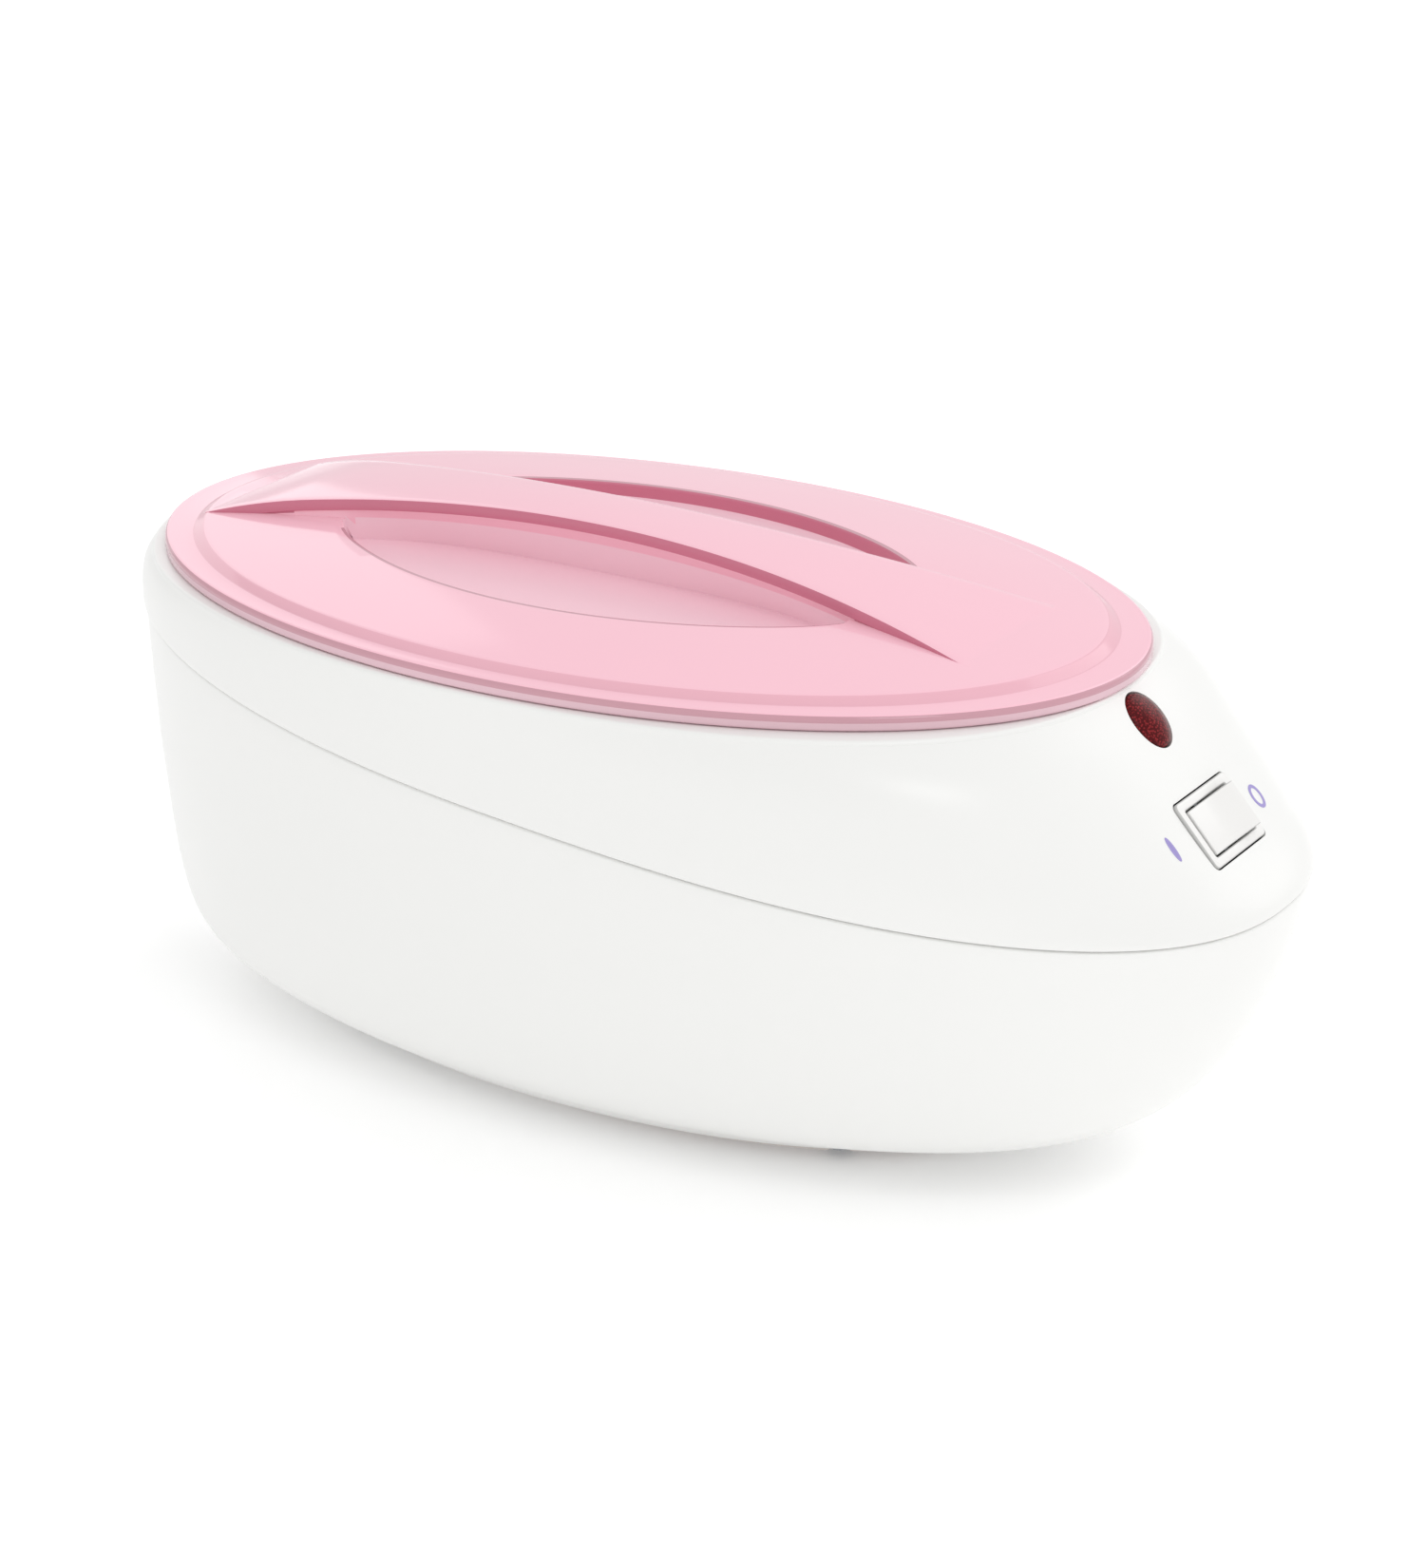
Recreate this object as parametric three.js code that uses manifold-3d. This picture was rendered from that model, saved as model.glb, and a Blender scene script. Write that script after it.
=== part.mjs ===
// Wax warmer pot: an oval heated paraffin bath with a lift-off lid, built as an assembly.
//
// Frame: millimetres, +Z up, origin on the table under the middle of the outline. +X points to the
// control end with the lamp and the rocker switch, and the object is symmetrical about the XZ plane.

import * as THREE from 'three';
import { mergeVertices } from 'three/addons/utils/BufferGeometryUtils.js';
import Module from 'manifold-3d';

const wasm = await Module();
wasm.setup();

// ---------------------------------------------------------------- driving dimensions

const GAP = 0.3; // clearance between pieces that touch on the real object
const SEGMENTS = 48; // points round each large oval

// Housing outline, as reach at a height: [height above table, reach].
const NOSE_LINE = [[5, 103], [17, 145], [34, 167], [58, 181], [80, 188], [93.5, 190], [97.5, 187],
  [104, 178.8], [114.5, 168.2], [127, 157], [139.6, 145.6], [147.7, 137.2], [150, 134.8]];
const TAIL_LINE = [[5, -141], [12, -168], [20, -181], [34, -186], [62, -188], [97, -190], [134, -190],
  [143, -188], [150, -180]];
const SIDE_LINE = [[5, 58], [10, 67], [27, 83], [62, 96], [102, 101], [132, 101.5], [150, 101]];
// How square the outline is, as an exponent: 2 is an ellipse. The nose end is squarer at mid height.
const NOSE_FULLNESS = [[5, 2.05], [85, 2.15], [114, 2.75], [135, 2.75], [150, 2.15]];
const TAIL_FULLNESS = 2.05;

const HOUSING_WALL = 2.6;
const COLLAR_OVERHANG = 0.8; // the upper housing stands this far proud of the lower one
const SEAM_HEIGHT = 112.2; // where the seam plane crosses x = 0
const SEAM_SLOPE = -0.1; // the seam plane falls towards the nose
const SEAM_GAP = 0.6;
const TONGUE_DEPTH = 5;
const TONGUE_CLEARANCE = 0.8;

const GLAND = { x: -185.8, height: 40, bore: 3.3, neck: 5.4 }; // inlet for a mains lead, low in the tail

const FLOOR_BOTTOM = 5;
const ACCESS_HOLE = { x: -6, a: 82, b: 34 }; // oval opening in the lower housing's floor

const LID_X = -20.8; // centre of the lid, the basin and the collar's opening
const DECK_HEIGHT = 147.7; // flat top of the collar, which the lid's rim rests on
const RECESS = { a: 151.5, b: 90, height: 144 }; // shelf that carries the gasket and the basin's flange
const MOUTH = { a: 145.5, b: 84.5 }; // opening through the shelf
const DECK_EDGE_ROUND = 1.2;

const BASIN_WALL = 1.4;
const BASIN_FLOOR = 34;
const BASIN_FLANGE_TOP = 147;
const GASKET_HEIGHT = 1.4;
const CLAMP_SCREWS = [-14, 14]; // across the heater's clamp strip

const THERMOSTAT_AT = new THREE.Vector3(114.4, 0, 52); // against the basin's end wall
const FUSE_AT = new THREE.Vector3(122, 40, 50);
const BLOCK_AT = new THREE.Vector3(84, 0, 8.2); // the terminal block, on the tub's floor

const BASE_PLATE = { x: -3, a: 104, b: 52.5, bottom: 2, thickness: 2.7 };
const BASE_SCREW_SPREAD = { x: 72, y: 34 }; // from the middle of the base plate
const FOOT_SPOTS = [[-76, -19.2], [-76, 19.2], [70, -19.2], [70, 19.2]];
const FOOT = { radius: 8, height: 3.4 };
const VENT = { length: 34, width: 2.4, spacing: 6, rows: [-2, -1, 0, 1, 2] };

const SWITCH_SLOPE = Math.atan2(25.5, 23); // fall of the nose face at the switch
const LAMP_SLOPE = Math.atan2(24.6, 24);
const SWITCH_AT = new THREE.Vector3(168.2, 0, 114.5);
const SWITCH_BEZEL = { across: 31, along: 21 }; // across is along Y, along runs down the nose face
const ROCKER = { across: 22.4, along: 14.2, axisDepth: 4.2 };
const ROCKER_TILT = THREE.MathUtils.degToRad(9); // the rest pose has the -Y end pressed in
const FACE_PROUD = 0.5; // the switch's bezel stands this far out of the nose face
const TERMINAL_SPOTS = [-7.5, 0, 7.5]; // across the back of the switch
const LAMP_AT = new THREE.Vector3(145.6, 0, 139.6);
const LAMP_RADIUS = 7.4;
const LAMP_STRETCH = 1.18; // the lens is this much longer down the slope than across it
const LAMP_BACK = 8; // radius of the lens's rear flange and of its holder

const LID = { a: 160, b: 99.5, rimBottom: 148, rimTop: 152.4, wall: 2.2 };
const LID_RIB = { a: 142, b: 81, thickness: 2, depth: 5 };
const RING_STEP = 0.925; // fraction of the rim outline where the flange steps up to the dome
const RIDGE = {
  top: 17, drop: 15, centre: -10, halfLength: 140, waist: 13, flareRight: 20, flareLeft: 17,
  tipStart: -105, tipLength: 35, tipFall: 2.1,
};
const LIP_THICKNESS = 3.6;
const POCKET = { centre: -5, halfLength: 88, spread: 43, floor: -1, inner: 5 };

// ---------------------------------------------------------------- shape helpers

/** A smooth function through a few [position, value] pairs that never overshoots them. */
function smoothLine(pairs) {
  const slopes = pairs.slice(1).map((pair, i) => (pair[1] - pairs[i][1]) / (pair[0] - pairs[i][0]));
  const tangents = pairs.map((pair, i) => {
    if (i === 0) return slopes[0];
    if (i === pairs.length - 1) return slopes[i - 1];
    if (slopes[i - 1] * slopes[i] <= 0) return 0;
    return (2 * slopes[i - 1] * slopes[i]) / (slopes[i - 1] + slopes[i]);
  });
  return (position) => {
    let i = pairs.findIndex((pair) => pair[0] > position) - 1;
    if (i < -1) i = pairs.length - 2;
    i = Math.max(i, 0);
    const span = pairs[i + 1][0] - pairs[i][0];
    const t = THREE.MathUtils.clamp((position - pairs[i][0]) / span, 0, 1);
    const rise = (1 + 2 * t) * (1 - t) ** 2 * pairs[i][1] + t * t * (3 - 2 * t) * pairs[i + 1][1];
    const lean = t * (1 - t) ** 2 * tangents[i] - t * t * (1 - t) * tangents[i + 1];
    return rise + lean * span;
  };
}

const noseReach = smoothLine(NOSE_LINE);
const tailReach = smoothLine(TAIL_LINE);
const sideReach = smoothLine(SIDE_LINE);
const noseFullness = smoothLine(NOSE_FULLNESS);

const roundPower = (value, power) => Math.sign(value) * Math.abs(value) ** power;

/** Point of the housing's outline at an angle and a height, moved inwards by inset. */
function housingPoint(angle, height, inset = 0) {
  const right = noseReach(height);
  const left = tailReach(height);
  const fullness = Math.cos(angle) > 0 ? noseFullness(height) : TAIL_FULLNESS;
  const x = (right + left) / 2 + ((right - left) / 2 - inset) * roundPower(Math.cos(angle), 2 / fullness);
  const y = (sideReach(height) - inset) * roundPower(Math.sin(angle), 2 / fullness);
  return new THREE.Vector3(x, y, height);
}

const seamAt = (x) => SEAM_HEIGHT + SEAM_SLOPE * x;

/** Height where the housing's outline at an angle crosses the seam plane. */
function seamHeight(angle) {
  let low = 60;
  let high = 140;
  for (let step = 0; step < 30; step += 1) {
    const middle = (low + high) / 2;
    if (middle > seamAt(housingPoint(angle, middle).x)) high = middle;
    else low = middle;
  }
  return (low + high) / 2;
}

/** A closed ring of points, counter-clockwise seen from above. */
function ring(pointAt, count = SEGMENTS) {
  return Array.from({ length: count }, (_, i) => pointAt((i / count) * Math.PI * 2));
}

const ovalRing = (x, a, b, height, count) =>
  ring((angle) => new THREE.Vector3(x + a * Math.cos(angle), b * Math.sin(angle), height), count);

/** Skins a list of rings. A looped loft joins the last ring to the first; others get flat caps. */
function loft(rings, looped = false) {
  const count = rings[0].length;
  const positions = rings.flat().flatMap((point) => point.toArray());
  const faces = [];
  const last = looped ? rings.length : rings.length - 1;
  for (let i = 0; i < last; i += 1) {
    const below = i * count;
    const above = ((i + 1) % rings.length) * count;
    for (let j = 0; j < count; j += 1) {
      const next = (j + 1) % count;
      faces.push(below + j, below + next, above + next, below + j, above + next, above + j);
    }
  }
  if (!looped) {
    const capStart = (rings.length - 1) * count;
    for (const [cap, offset] of [[rings[0], 0], [rings.at(-1), capStart]]) {
      const middle = cap.reduce((sum, point) => sum.add(point), new THREE.Vector3()).divideScalar(count);
      const hub = positions.length / 3;
      positions.push(...middle.toArray());
      for (let j = 0; j < count; j += 1) {
        const edge = [offset + j, offset + ((j + 1) % count)];
        faces.push(hub, ...(offset === 0 ? edge.reverse() : edge));
      }
    }
  }
  const geometry = new THREE.BufferGeometry();
  geometry.setAttribute('position', new THREE.Float32BufferAttribute(positions, 3));
  geometry.setIndex(faces);
  geometry.computeVertexNormals();
  return geometry;
}

/** A closed geometry as a solid that can be joined and cut. */
function toSolid(geometry) {
  const bare = geometry.clone();
  bare.deleteAttribute('normal');
  bare.deleteAttribute('uv');
  const welded = mergeVertices(bare, 1e-4);
  const vertProperties = welded.attributes.position.array;
  const triVerts = Uint32Array.from(welded.index.array);
  return new wasm.Manifold(new wasm.Mesh({ numProp: 3, vertProperties, triVerts }));
}

/** The faceted geometry of a solid. */
function toGeometry(solid) {
  const mesh = solid.getMesh();
  const geometry = new THREE.BufferGeometry();
  geometry.setAttribute('position', new THREE.BufferAttribute(mesh.vertProperties, 3));
  geometry.setIndex(new THREE.BufferAttribute(mesh.triVerts, 1));
  geometry.computeVertexNormals();
  return geometry;
}

/** A base solid with the tool geometries cut away. */
function cut(base, ...tools) {
  return toGeometry(tools.reduce((solid, tool) => solid.subtract(toSolid(tool)), toSolid(base)));
}

const box = (x, y, z, at = [0, 0, 0]) => new THREE.BoxGeometry(x, y, z).translate(...at);

/** A cylinder or cone along +Z, standing on z = from. */
function post(radius, from, to, sides = 16, topRadius = radius) {
  const geometry = new THREE.CylinderGeometry(topRadius, radius, to - from, sides);
  return geometry.rotateX(Math.PI / 2).translate(0, 0, (from + to) / 2);
}

/** A body of revolution about Z from [radius, height] pairs that start and end on the axis. */
function turned(profile, sides = 16) {
  const points = profile.map(([radius, height]) => new THREE.Vector2(radius, height));
  return new THREE.LatheGeometry(points, sides).rotateX(Math.PI / 2);
}

/** A flat plate with rounded corners, lying on z = 0. */
function roundedPlate(width, depth, height, radius) {
  const shape = new THREE.Shape();
  const x = width / 2;
  const y = depth / 2;
  shape.moveTo(-x + radius, -y);
  shape.absarc(x - radius, -y + radius, radius, -Math.PI / 2, 0);
  shape.absarc(x - radius, y - radius, radius, 0, Math.PI / 2);
  shape.absarc(-x + radius, y - radius, radius, Math.PI / 2, Math.PI);
  shape.absarc(-x + radius, -y + radius, radius, Math.PI, Math.PI * 1.5);
  return new THREE.ExtrudeGeometry(shape, { depth: height, bevelEnabled: false, curveSegments: 4 });
}

/** A round wire or rod swept along a smooth curve through the points. */
function wire(points, radius, steps) {
  const path = new THREE.CatmullRomCurve3(points.map((point) => new THREE.Vector3(...point)));
  const section = new THREE.Shape().absarc(0, 0, radius, 0, Math.PI * 2);
  return new THREE.ExtrudeGeometry(section, {
    steps, extrudePath: path, bevelEnabled: false, curveSegments: 4,
  });
}

const assembly = new THREE.Group();

/** Adds one named piece to a group. */
function addPiece(name, geometry, finish, parent = assembly) {
  const mesh = new THREE.Mesh(geometry, new THREE.MeshStandardMaterial(finish));
  mesh.name = name;
  parent.add(mesh);
  return mesh;
}

// ---------------------------------------------------------------- finishes

const WHITE_GLOSS = { color: '#f2f1ef', roughness: 0.25, metalness: 0 };
const ROCKER_WHITE = { color: '#f6f5f3', roughness: 0.3, metalness: 0 };
const LID_PINK = { color: '#f7c7d5', roughness: 0.18, metalness: 0 };
const LAMP_RED = { color: '#6b1a1f', roughness: 0.2, metalness: 0 };
const LAMP_GLASS = { color: '#e8b48c', roughness: 0.1, metalness: 0 };
const ALUMINIUM = { color: '#c9ccd0', roughness: 0.35, metalness: 1 };
const STEEL = { color: '#9fa3a8', roughness: 0.35, metalness: 1 };
const BRASS = { color: '#c5a452', roughness: 0.35, metalness: 1 };
const RUBBER = { color: '#3a3a3c', roughness: 0.85, metalness: 0 };
const SILICONE = { color: '#d9d6d2', roughness: 0.7, metalness: 0 };
const BLACK_PLASTIC = { color: '#26262a', roughness: 0.5, metalness: 0 };
const GLASS_FIBRE = { color: '#efe9d6', roughness: 0.95, metalness: 0 };
const PORCELAIN = { color: '#ece8df', roughness: 0.35, metalness: 0 };
const WIRE_BLUE = { color: '#2f5fae', roughness: 0.5, metalness: 0 };
const WIRE_BROWN = { color: '#6d4326', roughness: 0.5, metalness: 0 };

// ---------------------------------------------------------------- lower housing

const TUB_INSET = COLLAR_OVERHANG;

/** The four screws that hold the base plate to the tub. */
function baseScrewSpots() {
  const { x, y } = BASE_SCREW_SPREAD;
  return [[-1, -1], [1, -1], [-1, 1], [1, 1]].map(([along, side]) => [BASE_PLATE.x + along * x, side * y]);
}

/** Rings of the lower housing's wall from the floor up to the seam. */
function tubWall(inset, lift, fractions) {
  return fractions.map((fraction) => ring((angle) => {
    const top = seamHeight(angle) - SEAM_GAP / 2;
    const height = THREE.MathUtils.lerp(FLOOR_BOTTOM + lift, top, fraction);
    const point = housingPoint(angle, Math.max(height - lift * (1 - fraction), FLOOR_BOTTOM), inset);
    return point.setZ(height);
  }));
}

function lowerHousing() {
  const outer = tubWall(TUB_INSET, 0, [0, 0.03, 0.07, 0.13, 0.22, 0.36, 0.56, 0.8, 1]);
  const inner = tubWall(TUB_INSET + HOUSING_WALL, HOUSING_WALL, [0, 0.07, 0.2, 0.45, 0.8, 1]);
  const { x, a, b } = ACCESS_HOLE;
  const rings = [
    ovalRing(x, a, b, FLOOR_BOTTOM),
    ...outer,
    ...inner.reverse(),
    ovalRing(x, a, b, FLOOR_BOTTOM + HOUSING_WALL),
  ];
  const screwHoles = baseScrewSpots().map(([sx, sy]) => post(1.9, 0, 20, 12).translate(sx, sy, 0));
  const gland = post(GLAND.neck + GAP, -12, 12).rotateY(-Math.PI / 2).translate(GLAND.x, 0, GLAND.height);
  return cut(loft(rings, true), ...screwHoles, gland);
}

// ---------------------------------------------------------------- cord inlet

/** Bush that guides the mains lead through the tail wall. Its +Z points out of the wall. */
function cordGland() {
  const { bore, neck } = GLAND;
  const profile = [[bore, -9], [neck, -9], [neck, 1], [8.6, 1], [8.6, 2.2], [6.4, 2.8], [5, 3.8],
    [bore + 0.6, 4.1], [bore, 3.8], [bore, -9]];
  return turned(profile);
}

/** Hexagonal nut on the bush, inside the wall. */
function glandNut() {
  return cut(post(9.4, -8.8, -5, 6), post(GLAND.neck + GAP, -10, 0));
}

// ---------------------------------------------------------------- base plate, feet and screws

function basePlate() {
  const { x, a, b, bottom, thickness } = BASE_PLATE;
  const rings = [
    ovalRing(x, a - 1, b - 1, bottom, 48),
    ovalRing(x, a, b, bottom + 0.8, 48),
    ovalRing(x, a, b, bottom + thickness, 48),
  ];
  const feet = FOOT_SPOTS.map(([fx, fy]) => post(FOOT.radius + GAP, 0, bottom + 1.6).translate(fx, fy, 0));
  const holes = baseScrewSpots().map(([sx, sy]) => post(2.1, 0, 20, 12).translate(sx, sy, 0));
  const sinks = baseScrewSpots().map(([sx, sy]) => post(4.6, 0, bottom + 1.2).translate(sx, sy, 0));
  const vents = VENT.rows.map((row) =>
    roundedPlate(VENT.length, VENT.width, 10, 1.1).translate(x, row * VENT.spacing, 0));
  return cut(loft(rings), ...feet, ...holes, ...sinks, ...vents);
}

function rubberFoot() {
  const { radius, height } = FOOT;
  return turned([[0, 0], [radius - 1, 0], [radius, 0.8], [radius, height], [0, height]]);
}

/** A pan-head self-tapping screw, point up, with a cross recess in its head. */
function tappingScrew(shankRadius, length, headRadius, headHeight) {
  const profile = [[0, 0], [headRadius * 0.7, 0], [headRadius, headHeight * 0.5], [headRadius, headHeight],
    [shankRadius, headHeight], [shankRadius, length - 2], [0, length]];
  const body = turned(profile, 12);
  const slot = box(headRadius * 1.1, 0.9, headHeight);
  return cut(body, slot, slot.clone().rotateZ(Math.PI / 2));
}

// ---------------------------------------------------------------- upper housing

/** Ring of the collar's skin between the seam and the deck. */
function collarRing(fraction, inset, top) {
  return ring((angle) => {
    const start = seamHeight(angle) + SEAM_GAP / 2;
    return housingPoint(angle, THREE.MathUtils.lerp(start, top, fraction), inset);
  });
}

/** Ring that follows the seam plane at a step above or below it. */
function seamRing(rise, inset) {
  return ring((angle) => housingPoint(angle, seamHeight(angle) + rise, inset));
}

/** Turns a local frame's +Z to the nose face's normal, with local X running down the slope. */
function noseFrame(at, slope) {
  const normal = new THREE.Vector3(Math.sin(slope), 0, Math.cos(slope));
  const down = new THREE.Vector3(Math.cos(slope), 0, -Math.sin(slope));
  const across = new THREE.Vector3().crossVectors(normal, down);
  return new THREE.Matrix4().makeBasis(down, across, normal).setPosition(at);
}

function upperHousing() {
  const tongueOuter = COLLAR_OVERHANG + HOUSING_WALL + TONGUE_CLEARANCE;
  const tongueInner = tongueOuter + 2;
  const edge = DECK_HEIGHT - DECK_EDGE_ROUND;
  const underDeck = RECESS.height - HOUSING_WALL;
  const outer = [0, 0.06, 0.14, 0.24, 0.4, 0.6, 0.82, 1].map((f) => collarRing(f, 0, edge));
  const inner = [0, 0.3, 1].map((f) => collarRing(f, HOUSING_WALL, underDeck));
  const rings = [
    seamRing(-TONGUE_DEPTH, tongueOuter),
    seamRing(SEAM_GAP / 2, tongueOuter),
    ...outer,
    ring((angle) => housingPoint(angle, edge, DECK_EDGE_ROUND * 0.3).setZ(edge + DECK_EDGE_ROUND * 0.7)),
    ring((angle) => housingPoint(angle, edge, DECK_EDGE_ROUND).setZ(DECK_HEIGHT)),
    ovalRing(LID_X, RECESS.a, RECESS.b, DECK_HEIGHT),
    ovalRing(LID_X, RECESS.a, RECESS.b, RECESS.height),
    ovalRing(LID_X, MOUTH.a, MOUTH.b, RECESS.height),
    ovalRing(LID_X, MOUTH.a, MOUTH.b, underDeck),
    ...inner.reverse(),
    seamRing(-TONGUE_DEPTH, tongueInner),
  ];
  const across = SWITCH_BEZEL.across + 2 * GAP;
  const along = SWITCH_BEZEL.along + 2 * GAP;
  const aperture = box(along, across, 30).applyMatrix4(noseFrame(SWITCH_AT, SWITCH_SLOPE));
  const lampBore = [post(LAMP_RADIUS + GAP, -12, 12, 24), post(LAMP_BACK + GAP, -20, -4.4, 24)];
  const lampHoles = lampBore.map((hole) =>
    hole.scale(LAMP_STRETCH, 1, 1).applyMatrix4(noseFrame(LAMP_AT, LAMP_SLOPE)));
  return cut(loft(rings, true), aperture, ...lampHoles);
}

// ---------------------------------------------------------------- wax basin and its heating

/** Semi-axes of the basin's inside at a height: straight draft, then a round to the floor. */
function basinReach(height) {
  const round = 26;
  const depth = THREE.MathUtils.clamp((BASIN_FLANGE_TOP - height) / (BASIN_FLANGE_TOP - BASIN_FLOOR), 0, 1);
  const above = Math.max(0, 1 - (height - BASIN_FLOOR) / round);
  const curl = round * (1 - Math.sqrt(1 - above * above));
  return { a: 144 - 14 * depth - curl, b: 83 - 13 * depth - curl };
}

function basinRing(height, grow, drop = 0) {
  const { a, b } = basinReach(height);
  return ovalRing(LID_X, a + grow, b + grow, height - drop);
}

function waxBasin() {
  const heights = [34, 35.2, 39, 46, 60, 100];
  const top = BASIN_FLANGE_TOP;
  const rings = [
    ...heights.map((height) => basinRing(height, BASIN_WALL, height < 60 ? BASIN_WALL : 0)),
    basinRing(top - BASIN_WALL, BASIN_WALL),
    ovalRing(LID_X, RECESS.a - GAP - 0.4, RECESS.b - GAP - 0.4, top - BASIN_WALL),
    ovalRing(LID_X, RECESS.a - GAP, RECESS.b - GAP, top - BASIN_WALL / 2),
    ovalRing(LID_X, RECESS.a - GAP - 0.4, RECESS.b - GAP - 0.4, top),
    basinRing(top, 1.2),
    basinRing(top - 1.2, 0),
    ...heights.reverse().map((height) => basinRing(height, 0)),
  ];
  return loft(rings);
}

function basinGasket() {
  const bottom = RECESS.height + 0.1;
  const top = bottom + GASKET_HEIGHT;
  const inner = { a: MOUTH.a + 0.8, b: MOUTH.b + 0.8 };
  const outer = { a: RECESS.a - 0.8, b: RECESS.b - 0.8 };
  const rings = [
    ovalRing(LID_X, inner.a, inner.b, bottom),
    ovalRing(LID_X, outer.a, outer.b, bottom),
    ovalRing(LID_X, outer.a, outer.b, top),
    ovalRing(LID_X, inner.a, inner.b, top),
  ];
  return loft(rings, true);
}

/** A band wrapped round the outside of the basin between two heights. */
function basinBand(bottom, top, clearance, thickness) {
  const inside = [bottom, top].map((height) => basinReach(height));
  const grow = BASIN_WALL + clearance;
  const bandRing = (i, extra, height) =>
    ovalRing(LID_X, inside[i].a + grow + extra, inside[i].b + grow + extra, height, 48);
  return loft([
    bandRing(0, 0, bottom),
    bandRing(0, thickness, bottom),
    bandRing(1, thickness, top),
    bandRing(1, 0, top),
  ], true);
}

/** Rod element in one flat oval loop under the basin, its two cold ends turned down at the nose side. */
function heaterRod() {
  const height = BASIN_FLOOR - BASIN_WALL - 4.2;
  const arc = Array.from({ length: 15 }, (_, i) => {
    const angle = THREE.MathUtils.lerp(0.14, Math.PI * 2 - 0.14, i / 14);
    return [LID_X + 72 * Math.cos(angle), 30 * Math.sin(angle), height];
  });
  const end = (side) => [[64, side * 4.4, height - 1], [68, side * 4.6, height - 7]];
  return wire([...end(1).reverse(), ...arc, ...end(-1)], 3.2, 44);
}

/** Spring strip that presses the heater rod against the basin's underside. */
function elementClamp() {
  const holes = CLAMP_SCREWS.map((y) => post(1.9, -2, 4, 12).translate(0, y, 0));
  return cut(roundedPlate(16, 74, 1.5, 3), ...holes);
}

/** Disc thermostat: steel cap, ceramic body. Its +Z points away from the basin's end wall. */
function thermostatCap() {
  return turned([[0, 0], [7.2, 0], [8, 0.8], [8, 3.4], [0, 3.4]]);
}

function thermostatBody() {
  return turned([[0, 3.7], [8, 3.7], [8, 9.4], [4.8, 9.4], [4.8, 11.8], [0, 11.8]]);
}

function thermostatBracket() {
  return cut(roundedPlate(12, 36, 1.2, 3), post(5.2, -2, 4));
}

function thermalFuse() {
  return turned([[0, 0], [0.6, 0], [0.6, 6], [2, 7], [2, 17], [0.6, 18], [0.6, 24], [0, 24]], 12);
}

function fuseSleeve() {
  return turned([[2.4, 4], [3.4, 4], [3.4, 20], [2.4, 20], [2.4, 4]], 12);
}

/** Three-way porcelain connector with open screw wells. */
function terminalBlock() {
  const wells = [-9, 0, 9].map((y) => post(2.2, 4, 20, 12).translate(0, y, 0));
  return cut(roundedPlate(16, 28, 10, 2), ...wells);
}

// ---------------------------------------------------------------- rocker switch and lamp

function switchBezel() {
  const { across, along } = SWITCH_BEZEL;
  const rim = roundedPlate(along, across, 3.4, 1.6).translate(0, 0, FACE_PROUD - 3.4);
  const body = box(along - 3, across - 3, 12, [0, 0, FACE_PROUD - 3.4 - 5.8]);
  const shell = toSolid(rim).add(toSolid(body));
  const well = box(ROCKER.along + 1, ROCKER.across + 2.6, 12, [0, 0, FACE_PROUD - 5.9]);
  const pinBore = post(1.35, -20, 20, 12).rotateY(Math.PI / 2).translate(0, 0, -ROCKER.axisDepth);
  const hollow = box(ROCKER.along + 1, ROCKER.across - 4, 10, [0, 0, -10.5]);
  return toGeometry(shell.subtract(toSolid(well)).subtract(toSolid(hollow)).subtract(toSolid(pinBore)));
}

/** The rocker in its own frame: pin axis along X through the origin, V-shaped top face towards +Z. */
function rockerKey() {
  const half = ROCKER.across / 2;
  const crown = ROCKER.axisDepth + 1.1;
  const bend = Math.tan(ROCKER_TILT);
  const shape = new THREE.Shape();
  shape.moveTo(-half, crown + half * bend - 2.2);
  shape.lineTo(-half * 0.5, -1);
  shape.absarc(0, 0, 3, Math.PI * 1.15, Math.PI * 1.85);
  shape.lineTo(half * 0.5, -1);
  shape.lineTo(half, crown + half * bend - 2.2);
  shape.lineTo(half, crown + half * bend);
  shape.lineTo(0, crown);
  shape.lineTo(-half, crown + half * bend);
  const depth = ROCKER.along;
  const solid = new THREE.ExtrudeGeometry(shape, { depth, bevelEnabled: false, curveSegments: 8 });
  solid.translate(0, 0, -ROCKER.along / 2);
  solid.rotateX(Math.PI / 2).rotateZ(Math.PI / 2);
  return cut(solid, post(1.35, -20, 20, 12).rotateY(Math.PI / 2));
}

function rockerPin() {
  return post(1.1, -8.4, 8.4, 12).rotateY(Math.PI / 2);
}

/** A push-on blade terminal with its eye. */
function bladeTerminal() {
  return cut(box(4.8, 0.8, 8), post(0.7, -3, 3, 10).rotateX(Math.PI / 2).translate(0, 0, -1.6));
}

function lampLens() {
  const dome = [[0, 2.2], [2.6, 1.95], [4.8, 1.3], [6.4, 0.5], [LAMP_RADIUS, -0.6], [LAMP_RADIUS, -4.6],
    [LAMP_BACK, -5.4], [LAMP_BACK, -6.6], [4.4, -6.6], [4.4, -1.2], [0, -0.4]];
  return turned(dome.reverse(), 24).scale(LAMP_STRETCH, 1, 1);
}

function neonBulb() {
  return turned([[0, -10.6], [2.8, -10.6], [2.8, -4.4], [1.8, -2.8], [0, -2.2]], 16);
}

function lampHolder() {
  return turned([[0, -24], [4, -24], [4, -12], [LAMP_BACK, -12], [LAMP_BACK, -7], [3.6, -7], [3.6, -11],
    [0, -11]]);
}

// ---------------------------------------------------------------- lid

/** Height of the dome above the rim's top at a fraction of the way out to the rim. */
function domeHeight(fraction) {
  const f = Math.min(fraction / RING_STEP, 1);
  return 2 + 6.8 * (1 - f * f);
}

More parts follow.
